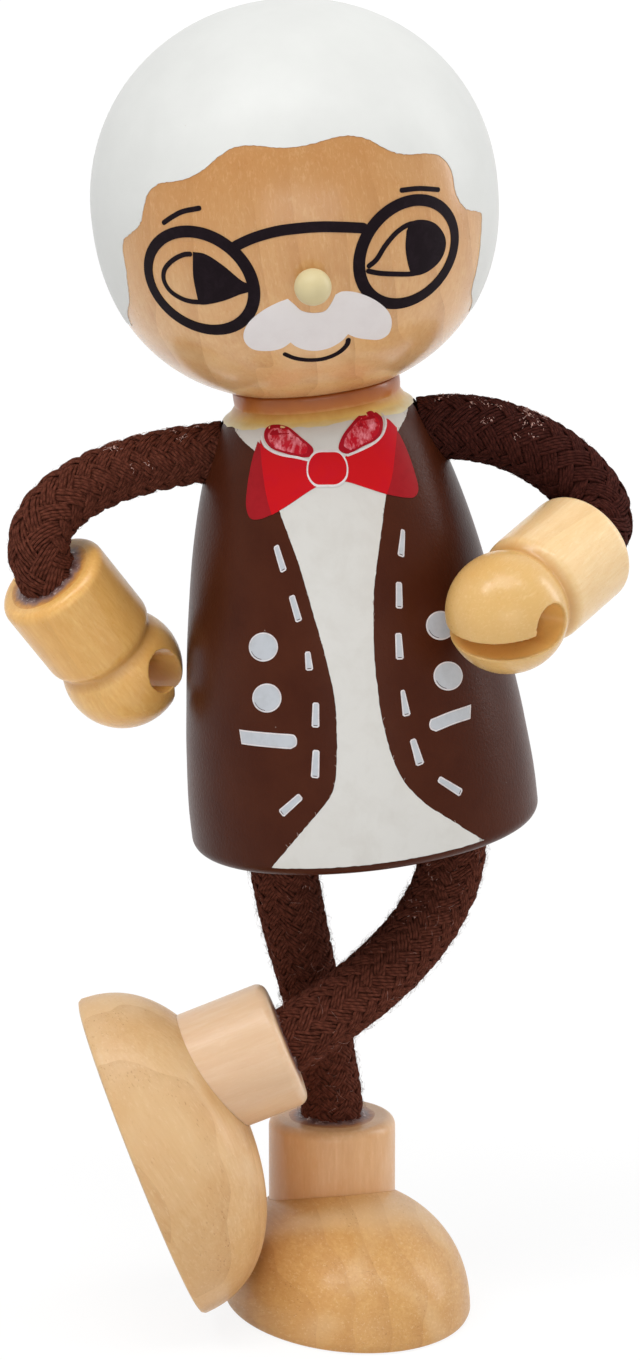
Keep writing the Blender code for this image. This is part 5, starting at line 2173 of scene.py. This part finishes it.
@dataclass
class Glue:
    """The film of glue round a cord in its socket: it climbs the cord and thins outwards."""

    wood: Colour
    inner: float = 2.55 * MM
    outer: float = 4.15 * MM
    outer_wander: float = 0.30 * MM
    climb: float = 0.62 * MM
    depth: float = 0.45 * MM
    sides: int = 120
    slope: Pairs = ((0.0, -0.06), (0.15, 0.02), (0.35, 0.05), (0.55, 0.11), (0.72, 0.26),
                    (0.86, 0.55), (0.95, 0.90))
    rim_span: tuple[float, float] = (3.25 * MM, 4.55 * MM)

    CLOUD = 0.9 * MM
    SWAY = 1.1 * MM
    LUMP = 0.32 * MM
    LUMP_DEPTH = 0.05 * MM
    SCATTER = (0.8 * MM, 0.5 * MM, 0.3 * MM)

    def _finish(self, name: str, frame: Matrix) -> bpy.types.Material:
        """Wood showing through at the rim, and milky grey-violet lumps by the cord."""
        graph = Graph(name)
        local = graph.place(frame)
        uneven = graph.maths("ADD", graph.away(graph.place(frame, 0.0)), graph.times(
            graph.noise(local, self.CLOUD, 3.0, 0.6), self.SWAY))
        near = graph.level(uneven, *self.rim_span, 1.0, 0.0)
        red, green, blue, _ = self.wood
        tone = graph.ramp(near, (
            (0.0, self.wood), (1.0, srgb(84, 54, 50)),
            (0.35, (red * 0.72, green * 0.62, blue * 0.62, 1.0)), (0.68, srgb(134, 104, 98))))
        lumps = graph.noise(local, self.LUMP, 3.0, 0.55)
        milky = graph.times(graph.level(lumps, 0.56, 0.70), graph.level(near, 0.45, 0.75))
        graph.surface(Base_Color=graph.mix(milky, tone, srgb(186, 162, 156)), Roughness=0.34,
                      Specular_IOR_Level=0.3, Subsurface_Weight=0.1, Subsurface_Scale=1.0,
                      Subsurface_Radius=self.SCATTER, Normal=graph.bump(lumps, self.LUMP_DEPTH))
        return graph.material

    def build(self, name: str, node: str, body: str, frame: Matrix, seed: int) -> None:
        """Make one film.

        Args:
            name: the piece's name.
            node: the CAD node it stands for.
            body: the body it rides on.
            frame: the socket's placement, its Z into the wood.
            seed: which uneven film it is.
        """
        turns = math.tau * np.arange(self.sides) / self.sides
        edge = self.outer - self.outer_wander * (wander(turns, seed, 9) + 1) / 2
        lump = 0.55 + 0.45 * wander(turns, seed + 1, 16)
        rows = [(edge, self.depth)]
        for share, rise in self.slope:
            rows.append((edge + (self.inner - edge) * share,
                         -self.climb * rise * (1 - (1 - lump) * share)))
        rows += [(self.inner, -self.climb * 0.8 * lump), (self.inner, self.depth)]
        ring = uneven_ring(frame, turns, rows)
        fit(ring.piece(name, [self._finish(f"{name}_milky", frame)], 60.0), body, Slot.GLUE,
            [node])


@dataclass
class Hand:
    """A turned hand: barrel, groove and ball, with a grip hole and a sawn slot."""

    side: str
    wrist: Vector
    axis: Vector
    grip: Vector
    body: str
    radius: float = 5.05 * MM
    edge: float = 0.9 * MM
    socket: tuple[float, float] = (3.10 * MM, 6.3 * MM)
    ball_radius: float = 5.3 * MM
    ball_place: float = 11.8 * MM
    hole_radius: float = 1.9 * MM
    hole_place: float = 12.2 * MM
    slot_wide: float = 2.2 * MM
    slot_narrow: float = 1.0 * MM
    overrun: float = 2.0 * MM
    voxel: float = 0.105 * MM
    sanding: int = 6
    tones: tuple[Colour, Colour, Colour] = (
        srgb(244, 196, 118), srgb(230, 172, 92), srgb(248, 212, 148))
    ball_tone: Colour | None = None
    ball_tone_span: tuple[float, float] = (7.5 * MM, 9.5 * MM)
    # The band of painted shade along the waist groove: its middle height and half width.
    groove: tuple[float, float] = (8.95 * MM, 0.85 * MM)
    waist: Pairs = (
        (5.05 * MM, 7.3 * MM), (5.04 * MM, 7.7 * MM), (4.97 * MM, 8.05 * MM),
        (4.78 * MM, 8.4 * MM), (4.56 * MM, 8.7 * MM), (4.47 * MM, 8.95 * MM))

    @property
    def frame(self) -> Matrix:
        """Its placement: the wrist face's centre, Z towards the tip, X along the grip."""
        return frame_along(self.wrist, self.axis, self.grip)

    def _saw(self, reach: float) -> Shape:
        """The wedge that the slot is cut with, so long to either side."""
        low, high = self.hole_place, self.ball_place + reach
        points = []
        for side, width in ((-reach, self.slot_narrow), (reach, self.slot_wide)):
            points += [(side, 0.0, low), (side, 0.0, high), (side, -width, high),
                       (side, -width, low)]
        tool = Shape()
        tool.add(moved(self.frame, np.array(points)), ring_faces(2, 4))
        return tool

    def build(self) -> None:
        """Turn, drill, saw and sand the hand, and glue it on."""
        first = math.asin(self.waist[-1][0] / self.ball_radius)
        shape = Shape()
        shape.lathe([*socket_mouth(*self.socket), *rounded(self.radius, self.edge), *self.waist,
                     *ball_profile(self.ball_radius, self.ball_place, first)[1:]], 128,
                    self.frame)
        name = f"{self.side}_turned_hand"
        light, dark, pale = self.tones
        # Painted shade along the groove and deep in the hole; the cut faces' own orange is made
        # lighter as painted light.
        wood = LacqueredWood(f"{name}_wood", light, dark, srgb(200, 146, 80), pale,
                             roughness=0.34, coat=0.4, line_strength=0.24, pore_share=0.14,
                             line_pitch=2.8 * MM, grain_length=1.8 * MM, fleck_share=0.2,
                             groove=self.groove, inside=srgb(244, 190, 104),
                             inside_ball=(self.ball_place, self.ball_radius),
                             upper=self.ball_tone, upper_span=self.ball_tone_span)
        piece = shape.piece(name, [wood.make(self.frame)])
        reach = self.ball_radius + self.overrun
        grip = self.frame @ Matrix.Translation((0.0, 0.0, self.hole_place))
        grip = grip @ Matrix.Rotation(math.pi / 2, 4, "Y")
        carve(piece, [drill(grip, self.hole_radius, -reach, reach, 72), self._saw(reach)])
        soften(piece, self.voxel, self.sanding)
        fit(piece, self.body, Slot.HAND, [f"{self.side}_hand"])
        Glue(dark).build(f"{self.side}_wrist_glue_ring", f"{self.side}_wrist_glue", self.body,
                         self.frame, 21 + len(self.side))


@dataclass
class Foot:
    """A domed shoe with the ankle let into it."""

    side: str
    ankle_top: Vector
    axis: Vector
    toe: Vector
    body: str
    length: float = 29.7 * MM
    width: float = 21.3 * MM
    height: float = 10.0 * MM
    roundness: float = 2.25
    sole_edge: float = 0.4 * MM
    ankle_radius: float = 5.65 * MM
    ankle_height: float = 15.7 * MM
    seat: float = 3.0 * MM
    setback: float = 4.8 * MM
    ankle_edge: float = 0.9 * MM
    seam: float = 0.05 * MM
    socket: tuple[float, float] = (3.10 * MM, 6.8 * MM)
    shoe_tones: tuple[Colour, Colour] = (srgb(216, 170, 108), srgb(201, 149, 86))
    ankle_tones: tuple[Colour, Colour] = (srgb(232, 186, 138), srgb(220, 168, 116))

    @property
    def frame(self) -> Matrix:
        """Its placement: the ankle top's centre, Z to the sole, X to the toe."""
        return frame_along(self.ankle_top, self.axis, self.toe)

    @property
    def sole(self) -> Matrix:
        """The placement at the sole's centre, Z up through the dome."""
        place = Matrix.Translation((self.setback, 0.0, self.ankle_height))
        return self.frame @ place @ Matrix.Rotation(math.pi, 4, "X")

    def build(self) -> None:
        """Make the shoe and the ankle, and glue the cord in."""
        profile = [(0.0, 0.0), (1.0 - self.sole_edge * 2 / self.width, 0.0),
                   (1.0 - self.sole_edge * 0.6 / self.width, self.sole_edge * 0.3),
                   (1, self.sole_edge)]
        steps = 48
        power = 2 / self.roundness
        for i in range(1, steps):
            angle = math.pi / 2 * i / steps
            height = self.height * math.sin(angle) ** power
            if height > self.sole_edge * 1.2:
                profile.append((math.cos(angle) ** power, height))
        profile.append((0.0, self.height))
        shape = Shape()
        shape.lathe(profile, 200, self.sole, scale=(self.length / 2, self.width / 2))
        grain = self.sole @ Matrix.Rotation(math.pi / 2, 4, "Z") @ Matrix.Rotation(
            math.radians(78.0), 4, "X")
        wood = LacqueredWood(f"{self.side}_shoe_wood", *self.shoe_tones, srgb(172, 118, 66),
                             srgb(232, 200, 156), roughness=0.44, coat=0.2, line_strength=0.30,
                             pore_share=0.8, line_pitch=3.3 * MM)
        piece = shape.piece(f"{self.side}_turned_shoe", [wood.make(grain)])
        upright = self.frame @ Matrix.Translation((0.0, 0.0, self.ankle_height))
        upright = upright @ Matrix.Rotation(math.pi, 4, "X")
        carve(piece, [drill(upright, self.ankle_radius + self.seam, self.seat,
                            self.ankle_height, 128)])
        fit(piece, self.body, Slot.SHOE, [f"{self.side}_shoe"])
        self._ankle()
        Glue(srgb(204, 148, 102)).build(f"{self.side}_ankle_glue_ring",
                                        f"{self.side}_ankle_glue", self.body, self.frame,
                                        41 + len(self.side))

    def _ankle(self) -> None:
        """The ankle: a round dowel with a soft top edge and the cord's socket."""
        bottom = self.ankle_height - self.seat - self.seam
        sides = [(self.ankle_radius, self.ankle_edge + (bottom - self.ankle_edge) * share)
                 for share in np.linspace(0.15, 1.0, 12)]
        shape = Shape()
        shape.lathe([*socket_mouth(*self.socket), *rounded(self.ankle_radius, self.ankle_edge),
                     *sides, (0.0, bottom)], 144, self.frame)
        wood = LacqueredWood(f"{self.side}_ankle_wood", *self.ankle_tones, srgb(194, 140, 94),
                             srgb(240, 208, 174), roughness=0.38, coat=0.3, line_strength=0.12,
                             pore_share=0.10, line_pitch=3.0 * MM, grain_width=0.45 * MM,
                             fleck_share=0.15)
        fit(shape.piece(f"{self.side}_turned_ankle", [wood.make(self.frame)]), self.body,
            Slot.ANKLE, [f"{self.side}_ankle"])


@dataclass
class Studio:
    """Plain pale floor and soft light."""

    floor_radius: float = 4.0
    floor_depth: float = 0.01
    floor_drop: float = 0.02 * MM
    world_light: float = 0.43
    whiteness: float = 0.82
    glow: tuple[float, float] = (1.06, 1.22)
    far: float = 1.2
    target: Place = (0.0, 0.0, 0.06)
    lamps: tuple[tuple[str, Place, tuple[float, float], float], ...] = (
        ("top_box", (-0.05, -0.20, 0.60), (0.32, 0.26), 1.15),
        ("front_box", (0.06, -0.75, 0.12), (0.60, 0.30), 0.85),
        ("left_box", (-0.34, -0.22, 0.55), (0.16, 0.20), 0.82),
        ("high_box", (0.21, -0.22, 0.62), (0.10, 0.10), 0.27),
        ("right_box", (0.50, 0.15, 0.26), (0.14, 0.40), 0.90))

    def _white_ray(self, tree: bpy.types.NodeTree) -> Socket:
        """1 for rays of the camera and of clear reflections, else 0."""
        path = tree.nodes.new("ShaderNodeLightPath")
        value = path.outputs["Is Camera Ray"]
        for name in ("Is Glossy Ray", "Is Transmission Ray"):
            larger = tree.nodes.new("ShaderNodeMath")
            larger.operation = "MAXIMUM"
            tree.links.new(value, larger.inputs[0])
            tree.links.new(path.outputs[name], larger.inputs[1])
            value = larger.outputs[0]
        return value

    def _floor(self) -> None:
        """A wide disc that stays white but keeps the doll's shadow."""
        level = Matrix.Translation((0.0, 0.0, -self.floor_drop))
        shape = drill(level, self.floor_radius, -self.floor_depth, 0.0, 96)
        graph = Graph("pale_floor")
        graph.surface(Base_Color=(0.86, 0.86, 0.86, 1.0), Roughness=0.9,
                      Specular_IOR_Level=0.1)
        strength = graph.level(graph.away(graph.here()), 0.0, self.far, *self.glow)
        glow = graph.node("Emission", {"Color": (1.0, 1.0, 1.0, 1.0), "Strength": strength})
        share = graph.times(self._white_ray(graph.tree), self.whiteness)
        both = graph.node("MixShader", {0: share, 1: graph.shader.outputs[0],
                                        2: glow.outputs[0]})
        out = graph.tree.nodes["Material Output"]
        graph.tree.links.new(both.outputs[0], out.inputs["Surface"])
        shape.piece("floor", [graph.material])

    def build(self) -> None:
        """Set the world, the floor and the lamps, each a soft box that faces the doll."""
        world = bpy.data.worlds.new("studio")
        bpy.context.scene.world = world
        world.use_nodes = True
        tree = world.node_tree
        back = tree.nodes["Background"]
        back.inputs["Color"].default_value = (1.0, 1.0, 1.0, 1.0)
        span = tree.nodes.new("ShaderNodeMapRange")
        span.inputs["To Min"].default_value = self.world_light
        tree.links.new(self._white_ray(tree), span.inputs["Value"])
        tree.links.new(span.outputs[0], back.inputs["Strength"])
        self._floor()
        for name, place, size, power in self.lamps:
            data = bpy.data.lights.new(name, "AREA")
            data.shape = "RECTANGLE"
            data.size, data.size_y = size
            data.energy = power
            lamp = bpy.data.objects.new(name, data)
            lamp.location = place
            ahead = Vector(self.target) - Vector(place)
            lamp.rotation_euler = ahead.to_track_quat("-Z", "Y").to_euler()
            bpy.context.collection.objects.link(lamp)
        bpy.context.scene.view_settings.view_transform = "Standard"


@dataclass
class Doll:
    """The whole doll."""

    torso: Torso = field(default_factory=Torso)
    view: PhotoView = field(default_factory=PhotoView)
    arm_joints: tuple[float, ...] = (0.19, 0.40, 0.61, 0.82)
    leg_joints: tuple[float, ...] = (0.16, 0.37, 0.59, 0.81)
    arm_sockets: tuple[float, float] = (5.0 * MM, 6.0 * MM)
    leg_sockets: tuple[float, float] = (8.0 * MM, 6.5 * MM)
    ankle_height: float = 15.7 * MM
    standing_turn: float = math.radians(15.2)
    right_wrist_reach: Place = (-14.00 * MM, -3.65 * MM, -10.26 * MM)
    right_hand_axis: Place = (0.523, 0.360, -0.773)
    right_grip: Place = (0.714, -0.680, 0.167)
    left_wrist_reach: Place = (13.01 * MM, -5.05 * MM, -9.30 * MM)
    left_hand_axis: Place = (-0.585, -0.739, -0.333)
    left_grip: Place = (0.796, -0.601, -0.064)
    free_ankle: Place = (-4.0 * MM, -10.0 * MM, 25.6 * MM)
    free_ankle_axis: Place = (-0.930, -0.070, -0.361)
    free_toe: Place = (0.367, -0.103, -0.925)

    ARM_PARTS = ("shoulder_end", "upper", "elbow", "fore", "wrist_end")
    LEG_PARTS = ("hip_end", "thigh", "knee", "shin", "ankle_end")
    ARM_FLUFF = Fluff(36.0, 0.013 * MM, (0.2 * MM, 0.55 * MM))
    LEG_FLUFF = Fluff(110.0, 0.010 * MM, (0.3 * MM, 1.25 * MM), pale_share=0.05)

    def _limb(self, side: str, kind: LimbKind, end: Vector, axis: Vector,
              pulls: tuple[float, float], sag: float, widths: Pairs, seed: int,
              lint: int) -> Limb:
        """One limb on its route.

        Args:
            side: right or left.
            kind: arm or leg.
            end: the socket's mouth.
            axis: the direction into the socket.
            pulls: how far the cord runs on before it turns, at the body and at the end.
            sag: how much it comes into the socket out of line.
            widths: (share of the free cord, radius) pairs.
            seed: which uneven sleeve it is.
            lint: how many pale specks each of its first stretches holds.
        Returns:
            The limb.
        """
        sign = -1 if side == "right" else 1
        turn = self.torso.frame.to_3x3()
        if kind is LimbKind.ARM:
            start, out = self.torso.shoulder(sign), turn @ Vector((sign, 0.0, 0.0))
            depths, parts, shares = self.arm_sockets, self.ARM_PARTS, self.arm_joints
            fluff = self.ARM_FLUFF
        else:
            start, out = self.torso.hip(sign), turn @ -UP
            depths, parts, shares = self.leg_sockets, self.LEG_PARTS, self.leg_joints
            fluff = self.LEG_FLUFF
        name = f"{side}_{kind.value}"
        route = Route(start, out, depths[0], end, axis, depths[1], pulls, sag)
        LOG.info("%s: %.2f mm of free cord", name, route.free / MM)
        bodies = ("torso", *(f"{name}_{part}" for part in parts[1:]))
        nodes = tuple(f"{name}_cord_{part}" for part in parts)
        return Limb(name, kind, route, bodies, nodes, shares, widths, seed, lint, fluff)

    def build(self) -> None:
        """Build every sub-assembly in order."""
        self.torso.build()
        JacketFront(self.torso, self.view).build()
        Neck(self.torso).build()
        Head(self.torso, self.view).build()
        right_wrist = self.torso.shoulder(-1) + Vector(self.right_wrist_reach)
        left_wrist = self.torso.shoulder(1) + Vector(self.left_wrist_reach)
        right_axis, left_axis = Vector(self.right_hand_axis), Vector(self.left_hand_axis)
        Hand("right", right_wrist, right_axis, Vector(self.right_grip),
             "right_arm_wrist_end").build()
        # The left hand's paler barrel tones are a painted highlight, the broad soft reflection on
        # its barrel; its ball keeps a yellower tone of its own.
        Hand("left", left_wrist, left_axis, Vector(self.left_grip), "left_arm_wrist_end",
             tones=(srgb(248, 218, 168), srgb(240, 202, 146), srgb(252, 230, 190)),
             ball_tone=srgb(218, 172, 98)).build()
        toe = Vector((math.sin(self.standing_turn), -math.cos(self.standing_turn), 0.0))
        standing_top = Vector((0.0, 0.0, self.ankle_height))
        free_top, free_axis = Vector(self.free_ankle), Vector(self.free_ankle_axis)
        Foot("right", standing_top, -UP, toe, "right_leg_ankle_end").build()
        Foot("left", free_top, free_axis, Vector(self.free_toe), "left_leg_ankle_end",
             shoe_tones=(srgb(224, 186, 136), srgb(212, 166, 112)),
             ankle_tones=(srgb(232, 200, 166), srgb(224, 186, 148))).build()
        yarn = CordYarn("brown_yarn", srgb(46, 15, 10), srgb(102, 54, 42), srgb(132, 80, 58),
                        srgb(182, 136, 122)).make()
        # A darker copy of the yarn: painted shade, for the shade that the left arm lies in.
        painted_shade_yarn = CordYarn("painted_shade_brown_yarn", srgb(32, 10, 9), srgb(72, 34, 29),
                         srgb(98, 56, 44), srgb(158, 112, 102)).make()
        lint = PlainSolid("pale_lint", srgb(214, 178, 168), srgb(186, 140, 128), 0.9).make()
        steel = PlainSolid("bright_wire", srgb(190, 190, 195), srgb(170, 170, 176), 0.35,
                           metallic=1.0).make()
        limbs = (
            self._limb("right", LimbKind.ARM, right_wrist, right_axis, (12.3 * MM, 6.1 * MM),
                       0.12, ((0.0, 2.62 * MM), (0.5, 2.66 * MM), (1.0, 2.78 * MM)), 101, 14),
            self._limb("left", LimbKind.ARM, left_wrist, left_axis, (9.4 * MM, 7.6 * MM),
                       -0.17, ((0.0, 2.86 * MM), (0.5, 2.94 * MM), (1.0, 3.0 * MM)), 202, 30),
            self._limb("right", LimbKind.LEG, standing_top, -UP, (10.0 * MM, 7.0 * MM), 0.0,
                       ((0.0, 3.0 * MM), (0.22, 2.98 * MM), (0.5, 2.72 * MM),
                        (0.85, 2.68 * MM), (1.0, 2.80 * MM)), 303, 2),
            self._limb("left", LimbKind.LEG, free_top, free_axis, (9.0 * MM, 8.5 * MM), 0.2,
                       ((0.0, 2.94 * MM), (1.0, 2.94 * MM)), 404, 5))
        for limb in limbs:
            # The left arm takes the darker yarn, painted shade for the shade it lies in.
            limb.build(painted_shade_yarn if limb.name == "left_arm" else yarn, lint, steel)


def main() -> None:
    """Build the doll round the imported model, and the studio round the doll."""
    logging.basicConfig(level=logging.INFO, format="%(message)s")
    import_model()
    doll = Doll()
    doll.view.make()
    doll.build()
    Studio().build()


if __name__ == "__main__":
    main()
